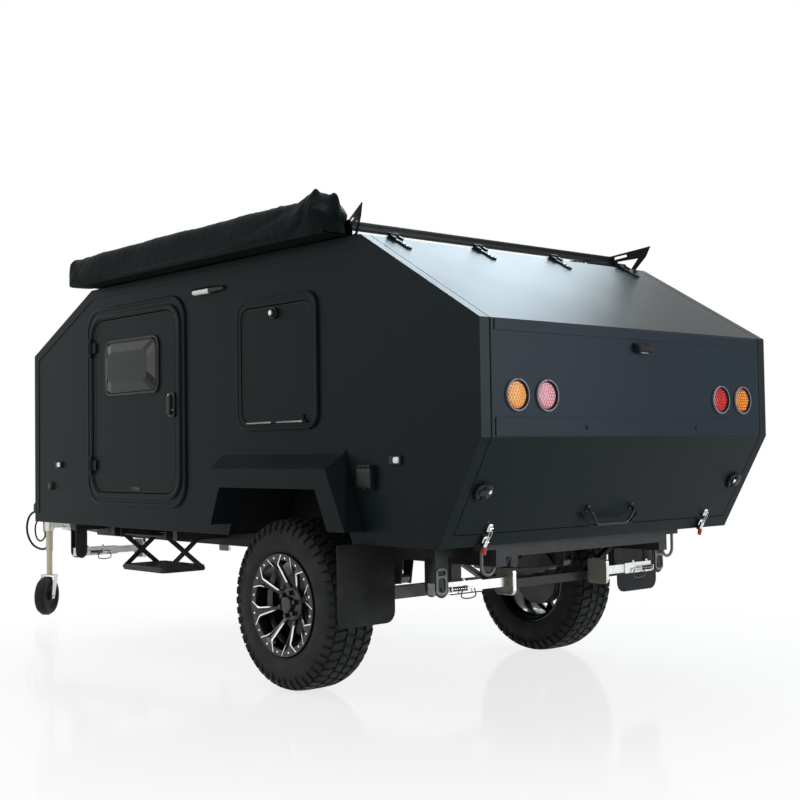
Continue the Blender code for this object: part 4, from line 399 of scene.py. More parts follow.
# ------------------------------------------------------------------ road wheels
# Mud-terrain tyres on black alloy wheels. A tyre is a moulded carcass with open shoulder lugs
# that run down onto the side wall, and four rows of offset blocks between them.

tyre_rubber = finish("tyre rubber", (0.0160, 0.0175, 0.0180), 0.70, vary=0.22, patch=14, grain=420,
                     height=0.0008, gloss=0.15, dust=0.10)
tyre_low, tyre_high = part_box("tyre_left")
tyre_radius = (tyre_high.z - tyre_low.z) / 2
tyre_half = (tyre_high.y - tyre_low.y) / 2
bead_radius, bead_half = 0.227, 0.1085
seat_gap = 0.0003
groove = 0.013
lug_draft, lug_root = 0.0022, -0.002
tread_pitches = 48


def carcass_line():
    """The tyre's section, from the tread's middle down to the bead, as (across, radius) points."""
    r, h = tyre_radius - groove, tyre_half
    return np.array(
        (
            (0.0, r), (0.030, r), (0.060, r - 0.001), (0.086, r - 0.004), (0.104, r - 0.012),
            (0.117, r - 0.026), (h - 0.0085, r - 0.045), (h - 0.004, r - 0.066), (h - 0.0015, r - 0.088),
            (h - 0.002, r - 0.108), (h - 0.006, r - 0.126), (h - 0.013, r - 0.142), (0.1150, r - 0.1455),
            (0.1105, bead_radius + 0.0125), (0.1087, bead_radius + 0.0085), (bead_half, bead_radius + 0.0005),
        )
    )


def along_section(distance):
    """Point and outward normal of the carcass at a distance from the tread's middle.

    The point is interpolated on the section, and its tangent is the chord over a short reach each way.
    """
    reach = 0.004
    line = carcass_line()
    step = np.linalg.norm(np.diff(line, axis=0), axis=1)
    gone = np.concatenate([[0], np.cumsum(step)])
    distance = np.asarray(distance, float)
    size = np.abs(distance)
    across = np.interp(size, gone, line[:, 0])
    radius = np.interp(size, gone, line[:, 1])
    before, after = size - reach, size + reach
    chord_across = np.interp(after, gone, line[:, 0]) - np.interp(before, gone, line[:, 0])
    chord_radius = np.interp(after, gone, line[:, 1]) - np.interp(np.abs(before), gone, line[:, 1])
    tangent = np.stack([chord_across, chord_radius], -1)
    tangent /= np.maximum(np.linalg.norm(tangent, axis=-1, keepdims=True), 1e-9)
    side = np.where(distance < 0, -1.0, 1.0)
    return side * across, radius, side * -tangent[..., 1], tangent[..., 0]


def wrapped(turn, distance, lift):
    """Points of the tyre about its middle: at a turn round the axle and a distance across, lifted."""
    across, radius, out_across, out_radius = along_section(distance)
    radius = radius + lift * out_radius
    across = across + lift * out_across
    return np.stack([radius * np.sin(turn), across, radius * np.cos(turn)], -1)


def lug(corners, height, steps):
    """A tread block over four (turn, distance) corners.

    A bilinear grid spans the corners. Its outer ring of points is sunk into the carcass by the
    root's depth and the next ring stands at the full height, drawn in by the draft, so that the
    sides slope. The underside is one face.
    """
    c = np.asarray(corners, float)
    u = np.concatenate([[0.0], np.linspace(0.0, 1.0, steps[0]), [1.0]])
    v = np.concatenate([[0.0], np.linspace(0.0, 1.0, steps[1]), [1.0]])
    up_u, up_v = (np.concatenate([[0.0], np.ones(count), [0.0]]) for count in steps)
    up = up_u[:, None] * up_v
    u_in = lug_draft / (np.linalg.norm((c[1] - c[0]) * (tyre_radius, 1)) + 1e-9)
    v_in = lug_draft / (np.linalg.norm((c[3] - c[0]) * (tyre_radius, 1)) + 1e-9)
    uu = u[:, None] + 0 * v
    vv = v + 0 * u[:, None]
    uu = np.where(up > 0, 0.5 + (uu - 0.5) * (1 - 2 * u_in), uu)
    vv = np.where(up > 0, 0.5 + (vv - 0.5) * (1 - 2 * v_in), vv)
    flat = (
        ((1 - uu) * (1 - vv))[..., None] * c[0] + (uu * (1 - vv))[..., None] * c[1]
        + (uu * vv)[..., None] * c[2] + ((1 - uu) * vv)[..., None] * c[3]
    )
    points = wrapped(flat[..., 0], flat[..., 1], np.where(up > 0, height, lug_root))
    rows, columns = len(u), len(v)
    border = [*range(columns), *range(2 * columns - 1, rows * columns, columns),
              *range(rows * columns - 2, (rows - 1) * columns - 1, -1),
              *range((rows - 2) * columns, 0, -columns)]
    return points.reshape(-1, 3), [*quads(rows, columns, ring=False), border[::-1]]


def tread_pattern():
    """All blocks of a tyre: four staggered rows of slanted blocks between two rows of shoulder lugs."""
    pitch = 2 * math.pi / tread_pitches
    block_share, shoulder_top, shoulder_foot, shoulder_height = 0.74, 0.1055, 0.1420, 0.0130
    rib_top, long_rib, short_rib, rib_height = 0.139, 0.158, 0.148, 0.0055
    rows = (
        # middle from the tread's middle, half width, phase, slant, height
        (0.0265, 0.0215, 0.00, 0.24, 0.0128), (0.0790, 0.0230, 0.50, -0.20, 0.0130),
        (-0.0265, 0.0215, 0.55, 0.24, 0.0128), (-0.0790, 0.0230, 0.05, -0.20, 0.0130),
    )
    blocks = []
    for k in range(tread_pitches):
        for middle, half, phase, slant, height in rows:
            near, far = (k + phase) * pitch, (k + phase + block_share) * pitch
            lean = slant * pitch / 2
            blocks.append(([(near - lean, middle - half), (far - lean, middle - half),
                            (far + lean, middle + half), (near + lean, middle + half)], height, (2, 3)))
        for side in (-1, 1):
            near = (k + (0.28 if side < 0 else 0.78)) * pitch
            top, foot = side * shoulder_top, side * shoulder_foot
            blocks.append(([(near, top), (near + 0.72 * pitch, top), (near + 0.66 * pitch, foot),
                            (near + 0.04 * pitch, foot)], shoulder_height, (2, 4)))
            top, foot = side * rib_top, side * (long_rib if k % 2 else short_rib)
            blocks.append(([(near + 0.06 * pitch, top), (near + 0.62 * pitch, top),
                            (near + 0.52 * pitch, foot), (near + 0.14 * pitch, foot)], rib_height, (2, 3)))
    return joined(*[lug(corners if corners[0][1] < corners[3][1] else corners[::-1], height, steps)
                    for corners, height, steps in blocks])


def carcass():
    """The moulded tyre body: its section turned about the axle, with fine rings on the side wall."""
    half = carcass_line()
    step = np.concatenate([[0], np.cumsum(np.linalg.norm(np.diff(half, axis=0), axis=1))])
    distance = np.concatenate([-np.linspace(step[-1], 0.002, 44), np.linspace(0.002, step[-1], 44)])
    gone = np.abs(distance)
    ring_rise, ring_pitch, ring_half, first_ring = 0.0012, 0.012, 0.0025, 0.205
    phase = np.mod(gone - 0.200, ring_pitch) - ring_pitch / 2
    rings = ring_rise * (np.abs(phase) < ring_half) * (gone > first_ring)
    turn = np.linspace(0, 2 * np.pi, 120, endpoint=False)[:, None]
    outer = wrapped(turn + 0 * distance, distance + 0 * turn, rings + 0 * turn)
    inner_across = np.linspace(bead_half, -bead_half, 5)
    inner = np.stack([bead_radius * np.sin(turn) + 0 * inner_across, inner_across + 0 * turn,
                      bead_radius * np.cos(turn) + 0 * inner_across], -1)
    points = np.concatenate([outer, inner], 1)
    return points.reshape(-1, 3), quads(len(turn), points.shape[1], loop=True)


def outward(shape):
    """The same shape with its faces pointing out: they are turned if the volume it holds is negative."""
    points, faces = shape
    a, b, c = (points[[face[k] for face in faces]] for k in (0, 1, 2))
    if np.einsum("ij,ij->i", a, np.cross(b, c)).sum() < 0:
        faces = [face[::-1] for face in faces]
    return points, faces


def shifted(shape, by):
    """The shape moved by a vector."""
    return shape[0] + np.asarray(by, float), shape[1]


body_shape, block_shape = outward(carcass()), tread_pattern()
for tag in ("left", "right"):
    low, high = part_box("tyre_" + tag)
    centre = (low + high) / 2
    whole = added("tyre_" + tag + "_moulded", shifted(joined(body_shape, block_shape), centre), tyre_rubber,
                  "wheel_" + tag, 32)
    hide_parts("tyre_" + tag)


def stack(rings):
    """A closed solid through rings of equally many points, flat at both ends."""
    points, count = np.concatenate(rings), len(rings[0])
    faces = quads(len(rings), count)
    return points, [*faces, list(range(count))[::-1], list(range(len(points) - count, len(points)))]


def circle(radius, level, sides=32):
    """Ring of points (r cos t, r sin t, level)."""
    turn = np.linspace(0, 2 * np.pi, sides, endpoint=False)
    return np.stack([radius * np.cos(turn), radius * np.sin(turn), level + 0 * turn], -1)


def turned(profile, sides=32, hollow=False):
    """The (radius, level) profile turned about Z. A hollow one runs up outside, down inside and closes."""
    rings = [circle(radius, level, sides) for radius, level in profile]
    if hollow:
        return np.concatenate(rings), quads(len(rings), sides, loop=True)
    return stack(rings)


def place_at(origin, out, up=(0, 0, 1)):
    """Placement at origin: Z points out, Y points up as far as it can, and X completes them."""
    out, up = np.asarray(out, float), np.asarray(up, float)
    out = out / np.linalg.norm(out)
    up = up - out * (up @ out)
    up = up / np.linalg.norm(up)
    return np.column_stack([np.cross(up, out), up, out, np.asarray(origin, float)])


def set_in(place, *shapes):
    """Shapes drawn about the origin, carried to a placement."""
    points, faces = joined(*shapes)
    return points @ place[:, :3].T + place[:, 3], faces


def spun(shape, angle):
    """The shape turned about Z: x' = x cos a - y sin a, y' = x sin a + y cos a."""
    c, s = math.cos(angle), math.sin(angle)
    return shape[0] @ np.array(((c, -s, 0), (s, c, 0), (0, 0, 1))).T, shape[1]


def around(shape, count, start=0.0):
    """Copies of the shape at equal angles about Z."""
    return joined(*[spun(shape, start + 2 * math.pi * k / count) for k in range(count)])


def two_tone(obj, second, mask):
    """Gives the faces picked by mask the piece's second finish."""
    obj.data.materials.append(second)
    obj.data.polygons.foreach_set("material_index", np.asarray(mask, np.int32))


spokes = 8
rim_edge = 0.2385
ring_level = 0.1278
rim_front, wheel_dish = 0.1308, 0.062
wheel_face = rim_front - wheel_dish
spoke_form = np.array(
    (
        # radius, half of the window beside the spoke, height over the hub, pocket depth, chamfer's drop
        (0.074, 0.0150, 0.0040, 0.0000, 0.0030), (0.090, 0.0225, 0.0100, 0.0000, 0.0045),
        (0.100, 0.0275, 0.0150, 0.0000, 0.0050), (0.107, 0.0305, 0.0187, 0.0000, 0.0050),
        (0.125, 0.0355, 0.0275, 0.0010, 0.0050), (0.150, 0.0410, 0.0400, 0.0040, 0.0050),
        (0.170, 0.0455, 0.0505, 0.0070, 0.0045), (0.181, 0.0475, 0.0570, 0.0085, 0.0030),
        (0.187, 0.0475, 0.0592, 0.0085, 0.0016), (0.197, 0.0425, 0.0598, 0.0070, 0.0010),
        (0.206, 0.0375, 0.0600, 0.0030, 0.0009), (0.212, 0.0340, 0.0602, 0.0004, 0.0009),
        (0.229, 0.0250, 0.0602, 0.0004, 0.0009),
    )
)
machined_width = 0.0062
spoke_turn = 0.244


def spoke(face):
    """One split spoke from hub to rim, along +X, and which of its faces are machined.

    At each radius r the share of the circle between two windows leaves 2 w = 2 (r sin(pi / 8) - half)
    of metal. Its section is a channel: a chamfer along each window, a flange, and a pocket between.
    """
    radius = np.linspace(spoke_form[0, 0], spoke_form[-1, 0], 46)
    half, rise, pocket, drop = (np.interp(radius, spoke_form[:, 0], spoke_form[:, k]) for k in (1, 2, 3, 4))
    wide = radius * math.sin(math.pi / spokes) - half
    cut = np.minimum(machined_width, wide * 0.40)
    flange = np.minimum(0.0045, wide * 0.22)
    slope = np.minimum(pocket * 0.5, wide * 0.15)
    deep = np.interp(radius, (0.195, 0.208), (0.022, 0.003))
    across = np.stack([-wide * 0.9, -wide, -wide + cut, -wide + cut + flange, -wide + cut + flange + slope,
                       wide - cut - flange - slope, wide - cut - flange, wide - cut, wide, wide * 0.9], 1)
    down = np.stack([deep, drop, 0 * cut, 0 * cut, pocket, pocket, 0 * cut, 0 * cut, drop, deep], 1)
    out = np.broadcast_to(radius[:, None], across.shape)
    points = np.stack([out, across, face + rise[:, None] - down], -1)
    count = points.shape[1]
    faces = quads(len(radius), count)
    bright = [k % count in (1, 7) and radius[k // count] > 0.100 for k in range(len(faces))]
    caps = [list(range(count)), list(range(len(radius) * count - count, len(radius) * count))[::-1]]
    faces = [side[::-1] for side in faces] + caps
    return (points.reshape(-1, 3), faces), [*bright, False, False]


def hex_nut(across, height):
    """A hexagonal nut on a round washer, its corners chamfered."""
    corner = across / math.sqrt(3)
    nut = stack([circle(corner, 0.0, 6), circle(corner, height * 0.85, 6), circle(corner * 0.86, height, 6)])
    washer = turned(((corner * 1.35, -0.002), (corner * 1.35, 0.0), (corner * 1.30, 0.0005)), 20)
    return joined(washer, nut)


black_alloy = finish("gloss black alloy", (0.010, 0.010, 0.011), 0.20, 0.3, vary=0.1, grain=900,
                     height=0.0001, gloss=0.6, dust=0.15)
machined = finish("machined alloy", (0.86, 0.86, 0.86), 0.16, 1.0, vary=0.05, patch=40, grain=1500,
                  height=0.0001)
barrel_alloy = finish("black barrel alloy", (0.055, 0.055, 0.058), 0.16, 1.0, vary=0.1, patch=18, grain=700,
                      height=0.0002, dust=0.1)
brake_iron = finish("brake drum iron", (0.06, 0.058, 0.056), 0.55, 0.6, vary=0.3, patch=30, grain=400,
                    height=0.0005, dust=0.3)
bead_seat = bead_half + seat_gap
both_sides = (("left", 1), ("right", -1))
for tag, side in both_sides:
    low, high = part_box("tyre_" + tag)
    place = place_at((low + high) / 2, (0, side, 0))
    body_name = "wheel_" + tag
    arm, bright = spoke(wheel_face)
    face = added("rim_" + tag + "_spokes", set_in(place, around(arm, spokes, spoke_turn)), black_alloy,
                 body_name, 28)
    two_tone(face, machined, bright * spokes)
    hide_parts("rim_" + tag)
    hub = turned(((0.060, wheel_face - 0.018), (0.080, wheel_face - 0.014), (0.080, wheel_face + 0.002),
                  (0.074, wheel_face + 0.008), (0.060, wheel_face + 0.012), (0.040, wheel_face + 0.013)), 64)
    lip = turned(((0.2075, 0.1120), (0.2180, 0.1090), (rim_edge - 0.001, 0.1095), (rim_edge, 0.1110),
                  (rim_edge, 0.1285), (rim_edge - 0.0015, 0.1305), (0.2345, 0.1305), (0.2315, ring_level),
                  (0.2085, ring_level), (0.2070, ring_level - 0.002)), 96, hollow=True)
    cap = turned(((0.037, wheel_face + 0.010), (0.037, wheel_face + 0.026), (0.034, wheel_face + 0.032),
                  (0.024, wheel_face + 0.0345), (0.022, wheel_face + 0.033), (0.004, wheel_face + 0.033)), 48)
    nut = shifted(hex_nut(0.021, 0.020), (0.0555, 0, wheel_face + 0.0125))
    added("rim_" + tag + "_hub", set_in(place, hub, lip, cap, around(nut, 6, spoke_turn)), black_alloy,
          body_name, 28)
    rivet = shifted(turned(((0.0055, 0), (0.0055, 0.0014), (0.0046, 0.0030), (0.0020, 0.0038)), 14),
                    (0.2200, 0, ring_level))
    added("rim_" + tag + "_rivets", set_in(place, around(rivet, 2 * spokes, spoke_turn)), machined,
          body_name)
    barrel = turned(((0.2225, -0.1000), (0.2268, -bead_seat), (rim_edge, -bead_seat), (rim_edge, -0.1140),
                     (0.2345, -0.1160), (0.2285, -0.1130), (0.2205, -0.1040), (0.2185, -0.0900),
                     (0.2050, -0.0700), (0.2050, 0.0300), (0.2185, 0.0500), (0.2190, 0.1100),
                     (0.2225, 0.1100), (0.2225, 0.0520), (0.2080, 0.0330), (0.2080, -0.0720))[::-1],
                    96, hollow=True)
    added("rim_" + tag + "_barrel", outward(set_in(place, barrel)), barrel_alloy, body_name, 30)
    drum = turned(((0.1450, wheel_face - 0.110), (0.1500, wheel_face - 0.106), (0.1500, wheel_face - 0.052),
                   (0.1440, wheel_face - 0.046), (0.0700, wheel_face - 0.040), (0.0620, wheel_face - 0.016)),
                  64)
    added("brake_drum_" + tag, set_in(place, drum), brake_iron, body_name, 30)

# ------------------------------------------------------------------ body
# Aluminium-faced sandwich panels in a dark charcoal satin coat, held by pressed corner profiles.
# The floor is a plywood sandwich, sealed black below, and the fenders are folded from sheet.

# The coat's edges get a painted highlight from the edge amount.
body_coat = finish("charcoal satin coat", (0.0075, 0.0120, 0.0132), 0.34, vary=0.05, patch=2.2, grain=900,
                   height=0.00025, gloss=0.06, edge_highlight=0.35)
wear_finish(body_coat, "front_wall", "front_slope", "roof_panel", "rear_sill", "rear_hatch",
            *(name + tag for name in ("side_wall", "fender", "entry_door", "door_frame", "locker_door",
                                      "locker_frame") for tag in ("_left", "_right")))
under_coat = finish("floor sealer", (0.006, 0.006, 0.007), 0.6, vary=0.2, grain=300, height=0.001, gloss=0.12,
                    dust=0.08)
wear_finish(under_coat, "cabin_floor")

# ------------------------------------------------------------------ entry doors
# Bought-in caravan doors: a pressed aluminium frame with a double bead, a rubber seal, a leaf with
# a shallow pressed line, and a paddle handle with its lock above and a key dot below.

body_half = 0.978


def rounded_ring(length, height, radius, level, inset=0.0, follow=1.0, steps=7):
    """Ring of a rounded rectangle: four quarter circles of steps points, drawn in by inset.

    The corner radius shrinks by follow times the inset.
    """
    r = max(radius - follow * inset, 0.0004)
    turn = np.linspace(0, np.pi / 2, steps)
    corners = []
    for k, (a, b) in enumerate(((1, 1), (-1, 1), (-1, -1), (1, -1))):
        x, y = a * (length / 2 - inset - r), b * (height / 2 - inset - r)
        corners.append(np.stack([x + r * np.cos(turn + k * np.pi / 2), y + r * np.sin(turn + k * np.pi / 2),
                                 level + 0 * turn], -1))
    return np.concatenate(corners)


def plate(length, height, radius, edges, follow=1.0, steps=7):
    """A rounded plate through rings of (inset, level), flat at both ends."""
    return stack([rounded_ring(length, height, radius, level, inset, follow, steps)
                  for inset, level in edges])


def bead(length, height, radius, edges, follow=1.0, steps=10):
    """A moulding round a rounded rectangle: its closed section of (inset, level) points carried round."""
    rings = [rounded_ring(length, height, radius, level, inset, follow, steps) for inset, level in edges]
    return outward((np.concatenate(rings), quads(len(rings), len(rings[0]), loop=True)))


def on_wall(x, z, side, proud=0.0):
    """Placement on a side wall at x from the axle and height z, standing proud of it."""
    return place_at((axle_x + x, side * (body_half + proud), z), (0, side, 0))


seal_rubber = finish("door seal rubber", (0.006, 0.006, 0.006), 0.55, vary=0.15, grain=900, height=0.0002,
                     gloss=0.2)
black_trim = finish("black trim", (0.0060, 0.0065, 0.0070), 0.34, vary=0.15, grain=800, height=0.0003,
                    gloss=0.25)
lock_steel = finish("lock barrel steel", (0.72, 0.72, 0.70), 0.22, 1.0, vary=0.1, patch=60, grain=900,
                    height=0.0002)
door_x, door_z = 1.287, 1.3785
door_form = (1.032, 1.097, 0.130)  # length, height, corner radius
handle_x, handle_z, leaf_proud = 0.892, 1.360, 0.018
drain_x, drain_z = 1.2785, 0.922


def door_bead(edges):
    """A moulding of this section round the door's outline."""
    return bead(*door_form, edges, 0.34, 16)


for tag, side in both_sides:
    middle = on_wall(door_x, door_z, side)
    outer_bead = ((0.0, 0.001), (0.0005, 0.0090), (0.0040, 0.0125), (0.0100, 0.0135), (0.0150, 0.0120),
                  (0.0180, 0.0085), (0.0190, 0.001))
    inner_bead = ((0.0400, 0.0100), (0.0405, 0.0150), (0.0440, 0.0185), (0.0520, 0.0195), (0.0600, 0.0180),
                  (0.0655, 0.0130), (0.0665, 0.0050))
    added("door_beads_" + tag, set_in(middle, door_bead(outer_bead), door_bead(inner_bead)), body_coat,
          "trailer", 50)
    seal = ((0.0740, 0.0060), (0.0740, 0.0092), (0.0765, 0.0106), (0.0800, 0.0092), (0.0800, 0.0060))
    added("door_seal_" + tag, set_in(middle, door_bead(seal)), seal_rubber, "entry_door_" + tag,
          50)
    pressed = ((0.0960, 0.0070), (0.0975, 0.0088), (0.1010, 0.0094), (0.1045, 0.0088), (0.1060, 0.0070))
    added("door_press_" + tag, set_in(middle, door_bead(pressed)), body_coat, "entry_door_" + tag,
          50)
    at_handle = on_wall(handle_x, handle_z, side, leaf_proud)
    case = plate(0.066, 0.128, 0.016, ((0, -0.010), (0, -0.002), (0.0015, 0.0012), (0.0040, 0.0022)))
    paddle = plate(0.030, 0.098, 0.012, ((-0.002, 0.0005), (-0.001, 0.0120), (0.0005, 0.0185),
                                         (0.0030, 0.0205), (0.0065, 0.0212)))
    hollow = bead(0.050, 0.112, 0.014, ((0, 0.0010), (0.0004, 0.0040), (0.0022, 0.0048), (0.0042, 0.0036),
                                        (0.0044, 0.0010)), 0.6)
    added("door_handle_" + tag, set_in(at_handle, case, paddle, hollow), black_trim, "entry_door_" + tag,
          40)
    key = turned(((0.0072, 0.0), (0.0072, 0.0050), (0.0060, 0.0060), (0.0020, 0.0058)), 20)
    small_key = turned(((0.0052, 0.0), (0.0052, 0.0044), (0.0042, 0.0052), (0.0014, 0.0050)), 16)
    added("door_keys_" + tag, set_in(at_handle, shifted(key, (-side * 0.019, 0.048, 0.0018)),
                                     shifted(small_key, (side * 0.019, -0.026, 0.0018))),
          lock_steel, "entry_door_" + tag)
    slot = plate(0.097, 0.020, 0.009, ((0, -0.001), (0, 0.0010), (0.0016, 0.0022), (0.0045, 0.0012)))
    added("door_drain_" + tag, set_in(on_wall(drain_x, drain_z, side, 0.008), slot), black_trim,
          "entry_door_" + tag, 40)

# ------------------------------------------------------------------ door windows
# Double acrylic panes, blown into a shallow pillow with cut corners, each clamped in a black
# moulded rim on the leaf.

window_x, window_z, window_proud = 1.302, 1.583, 0.0083
window_form = (0.570, 0.308)  # length, height
acrylic = finish("tinted acrylic", (0.0060, 0.0085, 0.0090), 0.035, vary=0.6, patch=6, grain=60,
                 height=0.00002, gloss=0.20)
for tag, side in both_sides:
    middle = on_wall(window_x, window_z, side, window_proud)
    rim_edges = ((0, 0.0), (0, 0.0070), (0.0015, 0.0098), (0.0050, 0.0112), (0.0105, 0.0112),
                 (0.0135, 0.0090), (0.0140, 0.0040), (0.0140, 0.0))
    window_rim = added("window_rim_" + tag, set_in(middle, bead(*window_form, 0.055, rim_edges, 0.5)),
                       black_trim, "entry_door_" + tag, 45)
    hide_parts("door_window_" + tag)
    pane_edges = ((0.0142, 0.0002), (0.0144, 0.0080), (0.0170, 0.0115), (0.0230, 0.0128), (0.0250, 0.0130),
                  (0.0700, 0.0345), (0.0725, 0.0353), (0.1040, 0.0360))
    added("window_pane_" + tag, set_in(middle, plate(*window_form, 0.052, pane_edges, 0.10, 3)), acrylic,
          "entry_door_" + tag, 6)

# ------------------------------------------------------------------ locker doors
# Drop-down locker doors: the same pressed frame, one push lock at the top, and a long hinge at
# the foot in two bright tubes.

locker_x, locker_z, lock_z = -0.011, 1.522, 1.7545
locker_form = (0.634, 0.625, 0.075)  # length, height, corner radius
hinge_z, hinge_proud = 1.2455, 0.020
hinge_alloy = finish("hinge alloy", (0.40, 0.41, 0.40), 0.28, 1.0, vary=0.1, patch=30, grain=700,
                     height=0.0002)
for tag, side in both_sides:
    middle = on_wall(locker_x, locker_z, side)
    outer_bead = ((0.0, 0.001), (0.0005, 0.0110), (0.0040, 0.0148), (0.0100, 0.0158), (0.0155, 0.0145),
                  (0.0185, 0.0115), (0.0190, 0.001))
    added("locker_bead_" + tag, set_in(middle, bead(*locker_form, outer_bead, 0.5, 12)), body_coat, "trailer",
          50)
    seal = ((0.0460, 0.0060), (0.0460, 0.0090), (0.0485, 0.0102), (0.0515, 0.0090), (0.0515, 0.0060))
    added("locker_seal_" + tag, set_in(middle, bead(*locker_form, seal, 0.5, 12)), seal_rubber,
          "locker_door_" + tag, 50)
    lock_place = on_wall(locker_x, lock_z, side, 0.020)
    knob = turned(((0.0275, -0.012), (0.0275, 0.001), (0.0262, 0.0035), (0.0215, 0.0045), (0.0205, 0.0150),
                   (0.0185, 0.0172), (0.0120, 0.0176)), 40)
    added("locker_lock_" + tag, set_in(lock_place, knob), black_trim, "locker_door_" + tag,
          40)
    plug = turned(((0.0118, 0.0150), (0.0118, 0.0186), (0.0100, 0.0200), (0.0030, 0.0196)), 28)
    added("locker_key_" + tag, set_in(lock_place, plug), lock_steel, "locker_door_" + tag)
    tubes = []
    for end in (-1, 1):
        near, far = sorted((end * 0.020, end * 0.2195))
        line = [(axle_x + locker_x + x, side * (body_half + hinge_proud), hinge_z)
                for x in (near, near + 0.002, far - 0.002, far)]
        tubes.append(tube(line, (0.0050, 0.0058, 0.0058, 0.0050), 14))
    added("locker_hinge_" + tag, joined(*tubes), hinge_alloy, "locker_door_" + tag, 40)

# ------------------------------------------------------------------ small fittings on the walls
# Marker lamps in black bases, the mains inlet with its sprung lid, the water filler, and the
# swivelling lamp over the left door.

clear_lens = finish("clear marker lens", (0.86, 0.87, 0.88), 0.10, vary=0.05, patch=60, grain=300,
                    height=0.0003)
marker_places = (("front", 2.163, 1.052), ("rear", -0.843, 1.068))  # x from the axle, height
for tag, side in both_sides:
    for place_name, x, z in marker_places:
        base = plate(0.072, 0.038, 0.010, ((0, -0.001), (0, 0.0110), (0.0015, 0.0135), (0.0045, 0.0140)))
        added(f"marker_base_{place_name}_{tag}", set_in(on_wall(x, z, side), base), black_trim, "trailer",
              40)
        lens = plate(0.034, 0.026, 0.008, ((0, 0.0120), (0, 0.0165), (0.0015, 0.0190), (0.0050, 0.0202)))
        lens = shifted(lens, (side * 0.012, 0, 0))
        added(f"marker_lens_{place_name}_{tag}", set_in(on_wall(x, z, side), lens), clear_lens, "trailer",
              30)
inlet = on_wall(-0.660, 0.995, 1)
lid = plate(0.100, 0.086, 0.012, ((0, 0.0150), (0, 0.0300), (0.0020, 0.0335), (0.0060, 0.0350),
                                  (0.0180, 0.0362)))
knuckle = [tube([inlet[:, :3] @ (x, 0.0490, 0.0240) + inlet[:, 3] for x in (a, b)], 0.0055, 12)
           for a, b in ((-0.040, -0.016), (-0.012, 0.012), (0.016, 0.040))]
catch = plate(0.026, 0.010, 0.004, ((0, 0.028), (0, 0.0380), (0.0015, 0.0395), (0.0030, 0.0398)))
lid_parts = set_in(inlet, shifted(lid, (0, -0.004, 0)), shifted(catch, (0, -0.044, -0.006)))
added("inlet_lid", joined(lid_parts, *knuckle), black_trim, "trailer", 40)
filler = on_wall(2.267, 0.927, 1)
cap = turned(((0.0260, -0.001), (0.0260, 0.0080), (0.0245, 0.0105), (0.0215, 0.0110), (0.0205, 0.0150),
              (0.0180, 0.0168), (0.0040, 0.0170)), 36)
rib = plate(0.0035, 0.0030, 0.0008, ((0, 0.0090), (0, 0.0150), (0.0006, 0.0160)))
ribs = around(shifted(rib, (0.0208, 0, 0)), 18)
added("filler_cap", set_in(filler, cap, ribs), black_trim, "trailer", 40)

# Local X points to the rear on the left wall, so the lens end has the lower values.
porch = on_wall(0.548, 1.920, 1, seat_gap)
shell = stack([np.array(((x, -0.016 * k, 0.0), (x, 0.018 * k, 0.0), (x, 0.018 * k, 0.010 * k + 0.002),
                         (x, 0.006 * k, 0.024 * k), (x, -0.012 * k, 0.026 * k), (x, -0.016 * k, 0.022 * k)))
               for x, k in ((-0.135, 0.94), (-0.132, 1.0), (0.030, 1.0), (0.040, 0.92), (0.118, 0.62),
                            (0.135, 0.50))])
porch_shell = added("porch_lamp_shell", outward(set_in(porch, shell)), black_trim, "trailer",
                    30)
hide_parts("porch_lamp")
diffuser = finish("white diffuser", (0.84, 0.84, 0.82), 0.3, vary=0.04, patch=60, grain=400, height=0.0003)
glow = stack([np.array(((x, -0.0166, 0.007), (x, 0.0130, 0.0120), (x, 0.0040, 0.0262), (x, -0.0120, 0.0280),
                        (x, -0.0166, 0.0215))) * (1, k, 1) for x, k in
              ((-0.120, 0.9), (-0.117, 1.0), (0.016, 1.0), (0.020, 0.9))])
added("porch_lamp_lens", outward(set_in(porch, glow)), diffuser, "trailer", 30)

# ------------------------------------------------------------------ tail lamps
# Round lamps: rows of round diodes in a shallow coloured dome, in a dark well. Each sits in a
# brushed bezel that three screws hold.

bezel_alloy = finish("brushed bezel", (0.15, 0.155, 0.165), 0.48, 0.75, vary=0.12, patch=30, grain=900,
                     height=0.0002)
screw_steel = finish("dark screws", (0.012, 0.010, 0.010), 0.45, 0.2, vary=0.2, grain=700, height=0.0002)
tail_x = -1.344
tail_face = axle_x + tail_x - seat_gap
diode_pitch, diode_row = 0.0150, 0.0130
diode_rows = [(column * diode_pitch + (row % 2) * diode_pitch / 2, row * diode_row)
              for row in range(-4, 5) for column in range(-4, 5)]
diode_places = np.array([spot for spot in diode_rows if math.hypot(*spot) < 0.0495])


def bolt_head(radius, height):
    """A round screw head with a domed edge and a sunk centre."""
    return turned(((radius, 0.0), (radius, height * 0.7), (radius * 0.88, height),
                   (radius * 0.5, height * 1.05), (radius * 0.42, height * 0.5)), 14)


def dome_height(x, y):
    """Height of the lamp's lens: 0.0060 - 1.6 r^2, a shallow bowl turned over."""
    return 0.0060 - 1.6 * (x**2 + y**2)


